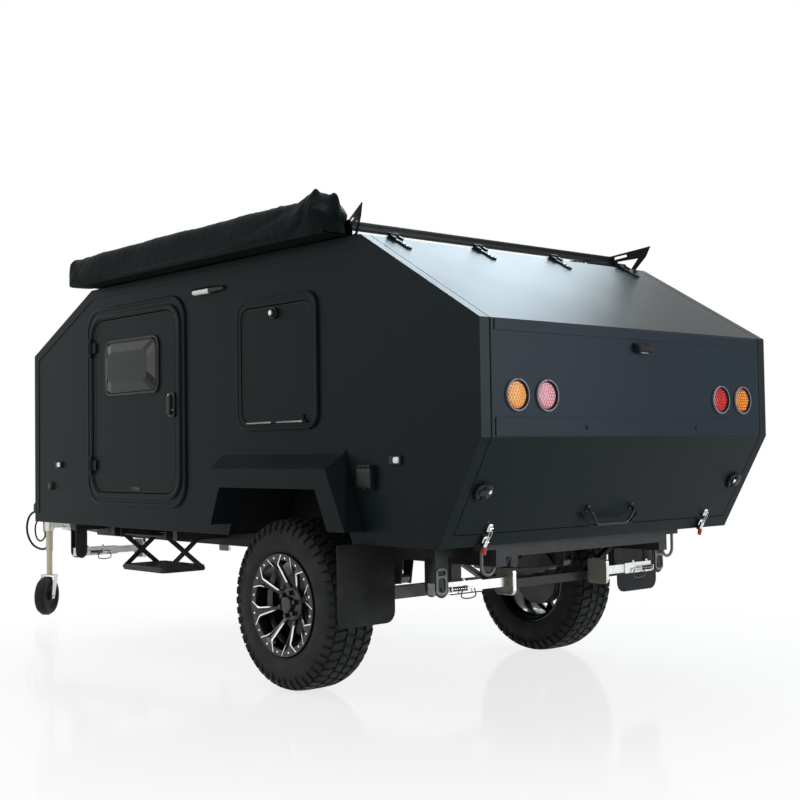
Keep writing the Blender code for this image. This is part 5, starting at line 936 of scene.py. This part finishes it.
lamp_z, lens_radius = 1.322, 0.0569
# The left pair's dome and diode colours are painted lighter than the right pair's: painted light on the left
# lamps, whose lenses are the same as the right ones.
lamp_kinds = (
    # node, place across, colour of the dome, colour of the diodes, slot
    ("lamp_outer_left", 0.780, (0.85, 0.25, 0.030), (1.0, 0.52, 0.16), "amber_lens"),
    ("lamp_inner_left", 0.604, (0.62, 0.16, 0.20), (0.90, 0.52, 0.56), "red_lens"),
    ("lamp_inner_right", -0.604, (0.28, 0.003, 0.003), (0.70, 0.014, 0.010), "red_lens"),
    ("lamp_outer_right", -0.780, (0.40, 0.050, 0.002), (1.0, 0.36, 0.012), "amber_lens"),
)
for lamp_name, y, tint, bright_tint, lamp_slot in lamp_kinds:
    lamp_place = place_at((tail_face, y, lamp_z), (-1, 0, 0))
    bezel = turned(((0.0590, 0.0), (0.0672, 0.0), (0.0672, 0.0060), (0.0664, 0.0092), (0.0650, 0.0108),
                    (0.0626, 0.0117), (0.0610, 0.0118), (0.0600, 0.0112), (0.0596, 0.0060)), 64, hollow=True)
    well = turned(((0.0566, 0.0), (0.0588, 0.0), (0.0599, 0.0100), (0.0599, 0.0114), (0.0591, 0.0114),
                   (0.0583, 0.0060)), 64, hollow=True)
    ring_piece = added(lamp_name + "_bezel", outward(set_in(lamp_place, bezel)), bezel_alloy, "rear_hatch",
                       40)
    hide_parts(lamp_name)
    screw = shifted(bolt_head(0.0030, 0.0016), (0.0633, 0, 0.0112))
    added(lamp_name + "_screws", set_in(lamp_place, outward(well), around(screw, 3, math.pi / 2)),
          screw_steel, "rear_hatch")
    radii = np.array((lens_radius, 0.0567, 0.0555, 0.0505, 0.0410, 0.0280, 0.0140, 0.0020))
    levels = np.concatenate([[0.0002, 0.0008], dome_height(radii[2:], 0)])
    lens_paint = finish(lamp_name + " dome", tint, 0.20, vary=0.12, patch=50, grain=300, height=0.0003,
                        gloss=0.25)
    added(lamp_name + "_dome", set_in(lamp_place, turned(tuple(zip(radii, levels)), 48)), lens_paint,
          "rear_hatch", 40)
    diode = turned(((0.0058, -0.0008), (0.0055, 0.0012), (0.0036, 0.0028), (0.0008, 0.0034)), 10)
    diodes = [shifted(diode, (x, y_spot, dome_height(x, y_spot))) for x, y_spot in diode_places]
    diode_paint = finish(lamp_name + " diodes", bright_tint, 0.26, vary=0.08, patch=90, grain=300,
                         height=0.0002, gloss=0.25)
    added(lamp_name + "_diodes", set_in(lamp_place, *diodes), diode_paint, "rear_hatch", 60)

# ------------------------------------------------------------------ rear hatch fittings
# A number-plate lamp under a black hood, rubber-dipped grab handle, two paddle latches, hinge
# straps screwed down the slope, and screw caps on the tail's joint strip.

# The tail's facing, strips and caps are the charcoal body coat painted lighter and bluer: painted light on
# the tail. Their edges get a painted highlight from the edge amount.
tail_lit_coat = finish("tail coat painted lighter", (0.0150, 0.0220, 0.0300), 0.30, vary=0.05, patch=2.2, grain=900,
                   height=0.00025, gloss=0.04, edge_highlight=0.35)
sill_x, sill_z, knee_z = -1.093, 0.709, 1.154

def on_tail(z, y, proud=0.0):
    """Placement on the lower tail panel, which runs straight from the sill out to the knee."""
    out = np.array((-0.8710, 0, -0.4913))
    x = sill_x + (tail_x - sill_x) * (z - sill_z) / (knee_z - sill_z)
    return place_at(np.array((axle_x + x, y, z)) + proud * out, out)


tail_z = 1.389
tail_place = place_at((tail_face + seat_gap, 0, tail_z), (-1, 0, 0))
added("tail_facing",
      set_in(tail_place, plate(1.846, 0.462, 0.004, ((0, 0.0), (0, 0.0012), (0.0008, 0.0018)))),
      tail_lit_coat, "rear_hatch", 20)
strips = [shifted(plate(1.810, height, 0.004, ((0, 0.0010), (0, 0.0048), (0.0012, 0.0060))),
                  (0, middle - tail_z, 0))
          for height, middle in ((0.074, 1.195), (0.042, 1.597))]
added("tail_strips", set_in(tail_place, *strips), tail_lit_coat, "rear_hatch", 40)
cap_form = turned(((0.0090, 0.0), (0.0090, 0.0030), (0.0068, 0.0054), (0.0024, 0.0062)), 24)
caps = [shifted(cap_form, (-y, -0.196, 0.0055)) for y in (0.361, -0.406)]
added("strip_caps", set_in(place_at((tail_face, 0, tail_z), (-1, 0, 0)), *caps), tail_lit_coat, "rear_hatch")
hood_y = -0.017
hood_rings = ((0.0, 0.0, 0.0), (0.012, 0.0, 0.0), (0.024, 0.003, 0.003), (0.031, 0.008, 0.006),
              (0.034, 0.013, 0.007))
hood = stack([rounded_ring(0.112, 0.040, 0.008, level, inset) + (0, -drop, 0)
              for level, inset, drop in hood_rings])
plate_hood = added("plate_lamp_hood", set_in(place_at((tail_face, hood_y, 1.540), (-1, 0, 0)), hood),
                   moulded_rubber, "rear_hatch", 40)
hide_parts("plate_lamp")
smoked_glass = finish("smoked lamp glass", (0.20, 0.20, 0.20), 0.2, vary=0.05, grain=400, height=0.0003)
glass = plate(0.052, 0.012, 0.004, ((0, -0.002), (0, 0.0030), (0.0020, 0.0045)))
added("plate_lamp_glass", set_in(place_at((tail_face - 0.018, hood_y, 1.5195), (0, 0, -1), (1, 0, 0)), glass),
      smoked_glass, "rear_hatch", 40)

latch_z, latch_y, latch_proud = 0.945, 0.865, 0.012
for tag, side in both_sides:
    at_latch = on_tail(latch_z, side * latch_y, latch_proud)
    body = plate(0.088, 0.062, 0.021, ((0, -0.011), (0, 0.0010), (0.0015, 0.0040), (0.0050, 0.0055)))
    paddle = plate(0.067, 0.027, 0.011, ((0, 0.0), (0, 0.0095), (0.0015, 0.0122), (0.0045, 0.0130)))
    added("latch_" + tag, set_in(at_latch, body, paddle), black_trim, "rear_hatch", 40)
    barrel = turned(((0.0085, 0.0), (0.0085, 0.0150), (0.0070, 0.0165), (0.0020, 0.0162)), 24)
    added("latch_key_" + tag, set_in(at_latch, shifted(barrel, (side * 0.022, 0.004, 0))), lock_steel,
          "rear_hatch")
grab_place = on_tail(0.826, 0.006)
grab_half = 0.150
grab_end = ((-grab_half, 0.020, -0.004), (-grab_half, 0.018, 0.016), (-grab_half + 0.010, 0.008, 0.032),
            (-grab_half + 0.045, -0.030, 0.046), (-grab_half + 0.075, -0.036, 0.048))
grab_line = eased([*grab_end, (0, -0.036, 0.048), *[(-x, y, z) for x, y, z in grab_end[::-1]]], 5)
feet = [shifted(plate(0.024, 0.034, 0.008, ((0, -0.001), (0, 0.0030), (0.0015, 0.0045), (0.0040, 0.0050))),
                (end * grab_half, 0.020, 0)) for end in (-1, 1)]
added("grab_handle", set_in(grab_place, tube(grab_line, 0.0058, 14), *feet), black_trim, "rear_hatch",
      40)
slope_out, slope_up = np.array((-0.5057, 0, 0.8627)), (0.8627, 0, 0.5057)
ridge_x, ridge_z, strap_proud = -0.631, 2.042, 0.0072
blade_outline = ((-0.0118, -0.121), (0.0118, -0.121), (0.0150, -0.050), (0.0300, -0.040), (0.0300, -0.026),
                 (-0.0300, -0.026), (-0.0300, -0.040), (-0.0150, -0.050))
blade = outward(stack([np.array([(x, y, z) for x, y in blade_outline]) for z in (-0.0075, 0.0008)]))
screws = [shifted(bolt_head(0.0048, 0.0022), (0, up, 0.0008)) for up in (-0.110, -0.086, -0.062)]
strap_shapes = []
for y in (0.790, 0.2633, -0.2633, -0.790):
    root = np.array((axle_x + ridge_x, y, ridge_z)) + strap_proud * slope_out
    strap_shapes.append(set_in(place_at(root, slope_out, slope_up), blade, *screws))
added("hinge_straps", joined(*strap_shapes), black_trim, "rear_hatch", 40)

# ------------------------------------------------------------------ sill toggles
# Over-centre latches hold the hatch down: a zinc wire bail pulled over a hook by a lever with a
# red dipped grip. The hook rides on the hatch and the rest is fixed to the sill.

bright_zinc = finish("polished zinc", (0.80, 0.80, 0.78), 0.16, 1.0, vary=0.1, patch=60, grain=600,
                     height=0.0002)
red_dip = finish("red dipped grip", (0.55, 0.020, 0.012), 0.30, vary=0.12, patch=60, grain=500, height=0.0004)
toggle_y, toggle_proud, toggle_scale = 0.745, 0.010, 0.78
hook_z, toggle_z = 0.790, 0.742
for tag, side in both_sides:
    hook_place = on_tail(hook_z, side * toggle_y, toggle_proud)
    lip = plate(0.026, 0.034, 0.006, ((0, -0.009), (0, 0.0015), (0.0015, 0.0030), (0.0040, 0.0034)))
    nose = tube([(-0.008, -0.004, 0.002), (-0.008, 0.004, 0.010), (0.008, 0.004, 0.010),
                 (0.008, -0.004, 0.002)], 0.0028, 10)
    added("toggle_hook_" + tag, set_in(hook_place, lip, nose), bright_zinc, "rear_hatch", 40)
    base_place = on_tail(toggle_z, side * toggle_y, toggle_proud)
    base_place[:, :2] *= toggle_scale
    hook_place[:, :2] *= toggle_scale
    seat_plate = plate(0.034, 0.040, 0.006, ((0, -0.009), (0, 0.0020), (0.0015, 0.0035), (0.0040, 0.0040)))
    bail = tube(eased(np.array(((-0.009, -0.010, 0.010), (-0.010, 0.020, 0.0125), (-0.0095, 0.056, 0.0135),
                                (0.0, 0.0635, 0.0140), (0.0095, 0.056, 0.0135), (0.010, 0.020, 0.0125),
                                (0.009, -0.010, 0.010))), 4), 0.0021, 8)
    lever_bar = plate(0.016, 0.052, 0.006, ((0, 0.006), (0, 0.0150), (0.0015, 0.0168), (0.0040, 0.0172)))
    axle_pin = tube([(x, -0.008, 0.0115) for x in (-0.015, -0.013, 0.013, 0.015)], 0.0032, 12)
    added("toggle_base_" + tag,
          set_in(base_place, seat_plate, bail, axle_pin, shifted(lever_bar, (0, -0.018, 0))),
          bright_zinc, "trailer", 40)
    grip = tube([(0, -0.034, 0.0125), (0, -0.037, 0.0130), (0.001, -0.050, 0.0140), (0.003, -0.066, 0.0165),
                 (0.004, -0.074, 0.0185), (0.004, -0.077, 0.0190)],
                (0.0075, 0.0098, 0.0108, 0.0108, 0.0092, 0.0060), 14)
    added("toggle_grip_" + tag, set_in(base_place, grip), red_dip, "trailer", 40)

# ------------------------------------------------------------------ stabiliser legs and loops
# Drop-down legs of zinc-plated square tube. Each has a dished foot with baked primer inside, two
# bolts through the sleeve, and a spring pin with a pull ring. The rear pair hang in galvanised
# stirrups, beside a loop bent from round bar for a recovery strap.


def pierced(outline, holes, thick):
    """A flat sheet with holes, thick / 2 to both sides. Its two faces are one tessellated polygon each."""
    loops = [np.asarray(loop, float) for loop in (outline, *holes)]
    flat = [[Vector((x, y, 0)) for x, y in loop] for loop in loops]
    cuts = [list(side) for side in tessellate_polygon(flat)]
    points = np.concatenate(loops)
    count = len(points)
    solid = np.concatenate([np.column_stack([points, np.full(count, z)]) for z in (thick / 2, -thick / 2)])
    a, b, c = (points[[side[k] for side in cuts]] for k in (0, 1, 2))
    turns = np.cross(b - a, c - a)
    cuts = [side if turn > 0 else side[::-1] for side, turn in zip(cuts, turns)]
    faces = cuts + [[v + count for v in side[::-1]] for side in cuts]
    begin = 0
    for index, loop in enumerate(loops):
        n = len(loop)
        area = (loop[:, 0] * np.roll(loop[:, 1], -1) - np.roll(loop[:, 0], -1) * loop[:, 1]).sum()
        a, b = begin + np.arange(n), begin + (np.arange(n) + 1) % n
        if (area > 0) != (index == 0):
            a, b = b, a
        faces += np.stack([a, a + count, b + count, b], -1).tolist()
        begin += n
    return solid, faces


primer = finish("baked primer", (0.235, 0.240, 0.185), 0.45, vary=0.15, patch=25, grain=500, height=0.0003,
                gloss=0.3, dust=0.2)
galvanised = finish("galvanised strap", (0.105, 0.108, 0.110), 0.45, 0.3, vary=0.25, patch=45, grain=500,
                    height=0.0003)
blue_dip = finish("blue dipped ring", (0.020, 0.030, 0.12), 0.35, vary=0.1, patch=50, grain=500,
                  height=0.0002)
black_spring = finish("black spring wire", (0.012, 0.012, 0.013), 0.4, 0.4, vary=0.2, grain=600,
                      height=0.0002)
leg_places = (("rear", -0.824), ("front", 2.380))  # x from the axle
leg_z, foot_y, pin_z, pin_back, bolts_y = 0.515, 0.318, 0.510, 0.0360, (0.690, 0.585)
coil_turns, coil_points, coil_radius, coil_ends = 7, 130, 0.0085, (0.688, 0.606)
stirrup_y = 0.750
loop_x, loop_y, loop_half, loop_drop, floor_bottom = -1.010, 0.620, 0.038, 0.094, 0.709
for end, x in leg_places:
    for tag, side in both_sides:
        body_name = f"stabiliser_{end}_{tag}"
        sole = plate(0.113, 0.118, 0.012,
                     ((0, 0.0), (0, 0.0006), (0.0030, 0.0012), (0.0100, 0.0006), (0.0200, 0.0002)))
        dish = bead(0.104, 0.109, 0.008,
                    ((0, 0.0), (0, 0.0060), (0.0015, 0.0030), (0.0060, 0.0012), (0.0310, 0.0010),
                     (0.0315, 0.0)), 0.2)
        added(body_name + "_foot_primer",
              joined(set_in(place_at((axle_x + x, side * (foot_y - 0.0052), leg_z), (0, -side, 0)), sole),
                     set_in(place_at((axle_x + x, side * (foot_y + 0.0012), leg_z), (0, side, 0)), dish)),
              primer, body_name, 40)
        bolts = [shifted(hex_nut(0.013, 0.008), (axle_x + x, side * y, leg_z + 0.0265))
                 for y in bolts_y]
        back = axle_x + x - pin_back
        turn = np.linspace(0, 2 * np.pi * coil_turns, coil_points)
        coil = np.stack([back + coil_radius * np.cos(turn), side * np.linspace(*coil_ends, coil_points),
                         pin_z + coil_radius * np.sin(turn)], -1)
        added(body_name + "_pin_spring", outward(tube(coil, 0.0021, 6)), black_spring, body_name,
              60)
        pin = tube([(back, side * y, pin_z) for y in (0.698, 0.697, 0.545, 0.544)], 0.0036, 10)
        lugs = [set_in(place_at((axle_x + x - 0.0252, side * y, pin_z), (-1, 0, 0)),
                       plate(0.006, 0.026, 0.002, ((0, 0.0), (0, 0.0180), (0.001, 0.0190))))
                for y in (0.694, 0.598)]
        added(body_name + "_bolts", joined(*bolts, pin, *lugs), bright_zinc, body_name, 40)
        bow = np.linspace(0, np.pi, 9)
        ring_line = np.concatenate([[(back, side * 0.625, leg_z - 0.008)],
                                    np.stack([np.full(9, back), side * (0.590 + 0.044 * np.cos(bow)),
                                              leg_z - 0.032 - 0.018 * np.sin(bow) ** 0.6], -1),
                                    [(back, side * 0.555, leg_z - 0.008)]])
        added(body_name + "_pull_ring", tube(eased(ring_line, 3), 0.0030, 8), blue_dip, body_name,
              60)
    if end == "front":
        continue
    for tag, side in both_sides:
        stirrup = pierced(rounded_ring(0.062, 0.114, 0.022, 0)[:, :2],
                          [rounded_ring(0.044, 0.022, 0.005, 0)[:, :2] + (0, 0.036),
                           rounded_ring(0.044, 0.062, 0.016, 0)[:, :2] + (0, -0.015)], 0.004)
        place = place_at((axle_x + x - 0.0370, side * stirrup_y, leg_z + 0.033), (-1, 0, 0))
        added("leg_stirrup_" + tag, outward(set_in(place, stirrup)), galvanised, "trailer", 40)
        bend = np.linspace(np.pi, 2 * np.pi, 13)
        foot = floor_bottom - loop_drop + loop_half * np.sin(bend)
        bow = np.stack([0 * bend, loop_half * np.cos(bend), foot], -1)
        hoop = np.concatenate([[(0, -loop_half, floor_bottom - 0.030)], bow,
                               [(0, loop_half, floor_bottom - 0.030)]])
        added("recovery_loop_" + tag, tube(hoop + (axle_x + loop_x, side * loop_y, 0), 0.0072, 12),
              galvanised, "trailer", 60)

# ------------------------------------------------------------------ roof bars
# Black extruded crossbars with a slot along each face. The rear one ends in splayed gusset
# plates, laser-cut and folded, and a drilled foot on the right.

bar_black = finish("black anodised bar", (0.0055, 0.0062, 0.0072), 0.34, vary=0.1, patch=12, grain=900,
                   height=0.0002, gloss=0.10)
matt_black = finish("matt black rail", (0.0045, 0.0048, 0.0050), 0.75, vary=0.1, patch=12, grain=900,
                    height=0.0003, gloss=0.06)
wear_finish(bar_black, "roof_bar_middle", "roof_bar_front")
wear_finish(matt_black, "awning_rail")


def disc(x, y, radius):
    """Ring of twelve points (x + r cos t, y + r sin t)."""
    turn = np.linspace(0, 2 * np.pi, 12, endpoint=False)
    return np.column_stack([x + radius * np.cos(turn), y + radius * np.sin(turn)])


bar_x, bar_low, bar_high = axle_x - 0.450, 2.096, 2.130
half, slot_deep, bar_end = 0.025, 0.007, 0.920
splay_back, splay_out = -0.914, 0.405
bar_section = np.array((
    (-half, bar_low), (-half + 0.003, bar_low - 0.001), (half - 0.003, bar_low - 0.001), (half, bar_low),
    (half, bar_low + 0.011), (half - slot_deep, bar_low + 0.0125), (half - slot_deep, bar_high - 0.0125),
    (half, bar_high - 0.011), (half, bar_high - 0.003), (half - 0.003, bar_high), (-half + 0.003, bar_high),
    (-half, bar_high - 0.003), (-half, bar_high - 0.011), (-half + slot_deep, bar_high - 0.0125),
    (-half + slot_deep, bar_low + 0.0125), (-half, bar_low + 0.011),
))
bar_shape = outward(stack([np.insert(bar_section + (bar_x, 0), 1, y, axis=1)
                           for y in (-bar_end, bar_end)]))
insert = outward(stack([np.array(((bar_x - half + 0.0015, y, 2.1125), (bar_x - half + 0.0015, y, 2.1142),
                                  (bar_x - half + slot_deep + 0.001, y, 2.1142),
                                  (bar_x - half + slot_deep + 0.001, y, 2.1125)))
                        for y in (-0.900, 0.900)]))
gusset = ((0.0, 2.0425), (0.0, 2.1340), (0.208, 2.1720), (0.183, 2.1180), (0.118, 2.0425), (0.092, 2.0425),
          (0.090, 2.0500), (0.004, 2.0500))
gusset_holes = (((0.030, 2.1010), (0.140, 2.1110), (0.102, 2.0570), (0.020, 2.0570)),
                ((0.012, 2.1120), (0.080, 2.1240), (0.078, 2.1370), (0.014, 2.1270)))
bar_parts = [bar_shape, insert]
for side in (-1, 1):
    run = np.array((splay_back, side * splay_out, 0))
    flank = np.cross(run, (0, 0, 1))
    at = np.column_stack([run, (0, 0, 1), flank, (bar_x - 0.0240, side * 0.9125, 0)])
    bar_parts.append(outward(set_in(at, pierced(gusset, gusset_holes, 0.005))))
    for x in (-0.035, 0.120):
        foot = plate(0.070, 0.044, 0.006, ((0, 0.0003), (0, 0.0045), (0.001, 0.0055)))
        bar_parts.append(shifted(foot, (bar_x + x, side * 0.890, 2.042)))
        bar_parts.append(shifted(hex_nut(0.013, 0.008), (bar_x + x, side * 0.882, 2.0478)))
    web = pierced(((-0.040, 2.0460), (0.190, 2.0460), (0.190, 2.0600), (0.060, 2.1340), (-0.026, 2.1340)),
                  [((0.010, 2.0600), (0.130, 2.0600), (0.050, 2.1100), (0.010, 2.1100))], 0.005)
    at = np.column_stack([(1, 0, 0), (0, 0, 1), (0, -1, 0), (bar_x, side * 0.9135, 0)])
    bar_parts.append(outward(set_in(at, web)))
drilled = pierced(((0.000, 2.0500), (0.300, 2.0560), (0.345, 2.0800), (0.300, 2.0860), (0.000, 2.0940)),
                  [disc(x, z, r) for x, z, r in ((0.215, 2.0760, 0.0075), (0.250, 2.0755, 0.0065),
                                                 (0.280, 2.0750, 0.0065))], 0.004)
at = np.column_stack([(0, 1, 0), (0, 0, 1), (-1, 0, 0), (bar_x - 0.0215, -0.911, 0)])
bar_parts.append(outward(set_in(at, drilled)))
rear_bar = added("roof_bar_rear_made", joined(*bar_parts), bar_black, "trailer", 30)
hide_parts("roof_bar_rear")

# ------------------------------------------------------------------ awning bag
# The rolled awning in its coated fabric bag: a soft tube, tight over the roll, flat at the
# front end, and gathered with a drawcord into folds at the rear, where one corner stands up.

canvas = finish("coated bag fabric", (0.0042, 0.0074, 0.0082), 0.50, vary=0.10, patch=6, grain=1500,
                height=0.0007, gloss=0.035)
bag_length = np.array((1.828, 1.826, 1.818, 1.800, 1.740, 1.560, 1.300, 1.050, -0.385, -0.425, -0.450, -0.475,
                       -0.498, -0.512, -0.518))
bag_size = np.array((0.40, 0.80, 0.900, 0.930, 0.945, 0.960, 0.985, 1.0, 1.0, 1.015, 0.95, 0.84, 0.70, 0.52,
                     0.20))
bag_y, bag_foot, bag_half, bag_rise = 1.0130, 2.0585, 0.0855, 0.0890
rail_top, lip_y = 2.0575, 1.0880


def bag():
    """The bag's skin, a rounded box carried along x on the rail.

    At x the section is |y / a|^n + |z / b|^n = 1, with n = 3.2 above and 12 below, whose size follows the
    table and whose foot stays on the rail. Added to its radius are long sags and short creases, each a
    sine of x bent by a sine of the turn, seam bands, and at the rear five folds |sin 2.5 t| that deepen
    to the end. One corner is drawn up to a peak along a ridge, and the outer foot is pulled down over
    the rail's lip.
    """
    along = np.concatenate([np.linspace(1.828, 1.70, 26), np.linspace(1.69, -0.33, 124),
                            np.linspace(-0.336, -0.518, 40)])
    size = np.interp(along, bag_length[::-1], bag_size[::-1])[:, None]
    turn = np.linspace(0, 2 * np.pi, 96, endpoint=False)[None, :]
    x = along[:, None] + 0 * turn
    c, s = np.cos(turn), np.sin(turn)
    squareness = np.where(s < 0, 12.0, 3.2)
    box = (np.abs(c) ** squareness + np.abs(s) ** squareness) ** (-1 / squareness)
    sag = 0.0022 * np.sin(9.0 * x + 1.3 * np.sin(turn * 2 + 0.4))
    sag = sag + 0.0012 * np.sin(23.0 * x - 2.0 * np.cos(turn))
    crease = 0.0006 * np.sin(83.0 * x + 5.0 * np.sin(turn + 0.6) + 2.0 * np.sin(9.0 * x))
    crease = crease + 0.0005 * np.sin(140.0 * x + 3.5 * np.cos(turn * 3 + 7.0 * x))
    tight = np.interp(x, (-0.50, -0.38, 0.0, 1.50, 1.70, 1.80), (1.6, 1.5, 0.9, 0.9, 2.4, 1.6))
    seam = sum(0.0018 * np.exp(-(((x - place) / 0.010) ** 4)) for place in (-0.165, 1.470))
    grown = np.clip((-0.405 - x) / 0.09, 0, 1)
    folds = 0.45 - np.abs(np.sin(2.5 * turn - 0.5 + 5.0 * (x + 0.43)))
    folds = 0.034 * grown * folds * np.clip(s + 1.1, 0.3, 1)
    slack = np.clip(s + 0.9, 0.25, 1.0)
    radius = box * (1 + ((sag + crease) * tight * slack + seam + folds) / 0.090)
    # the drawn-up corner, its ridge and the fold behind it
    ridge = np.where(x > -0.428, np.exp(-(x + 0.428) / 0.055), np.exp((x + 0.428) / 0.012))
    peak = ridge * np.exp(-(((turn - 1.02) / 0.24) ** 2))
    fold = np.exp(-(((x + 0.490) / 0.022) ** 2) - ((turn - 1.75) / 0.40) ** 2)
    y = bag_y + bag_half * size * radius * c
    z = bag_foot + bag_rise * size + bag_rise * size * radius * s + 0.030 * peak + 0.034 * fold
    z = np.maximum(z, rail_top)
    z = z - 0.0120 * np.clip((y - lip_y) / 0.003, 0, 1) * np.clip((2.100 - z) / 0.035, 0, 1)
    return outward(stack(list(np.stack([axle_x + x - 0.010 * fold, y, z], -1))))


bag_skin = added("awning_bag_skin", bag(), canvas, "trailer", 60)
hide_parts("awning_bag")
held_low, held_front, held_rear, most_moved = 2.080, 1.800, -0.38, 0.010
sewn = bag_skin.data
rest = np.empty(len(sewn.vertices) * 3)
sewn.vertices.foreach_get("co", rest)
rest = rest.reshape(-1, 3)
held = bag_skin.vertex_groups.new(name="held")
firm = (rest[:, 2] < held_low) | (rest[:, 0] > axle_x + held_front) | (rest[:, 0] < axle_x + held_rear)
held.add(np.flatnonzero(firm).tolist(), 1.0, "REPLACE")
cloth = bag_skin.modifiers.new("cloth", "CLOTH")
cloth.settings.quality = 6
cloth.settings.mass = 0.35
cloth.settings.tension_stiffness = 20
cloth.settings.compression_stiffness = 12
cloth.settings.shear_stiffness = 8
cloth.settings.bending_stiffness = 0.6
cloth.settings.shrink_min = -0.035
cloth.settings.use_pressure = True
cloth.settings.uniform_pressure_force = 0.6
cloth.settings.vertex_group_mass = "held"
cloth.settings.effector_weights.gravity = 0.5
for count in range(1, 21):
    bpy.context.scene.frame_set(count)
moved = bag_skin.evaluated_get(bpy.context.evaluated_depsgraph_get()).to_mesh()
settled = np.empty(len(moved.vertices) * 3)
moved.vertices.foreach_get("co", settled)
step = settled.reshape(-1, 3) - rest
far = np.linalg.norm(step, axis=1, keepdims=True)
rest = rest + step * np.minimum(1, most_moved / np.maximum(far, 1e-9))
bag_skin.modifiers.remove(cloth)
sewn.vertices.foreach_set("co", rest.ravel())
sewn.update()
bpy.context.scene.frame_set(1)
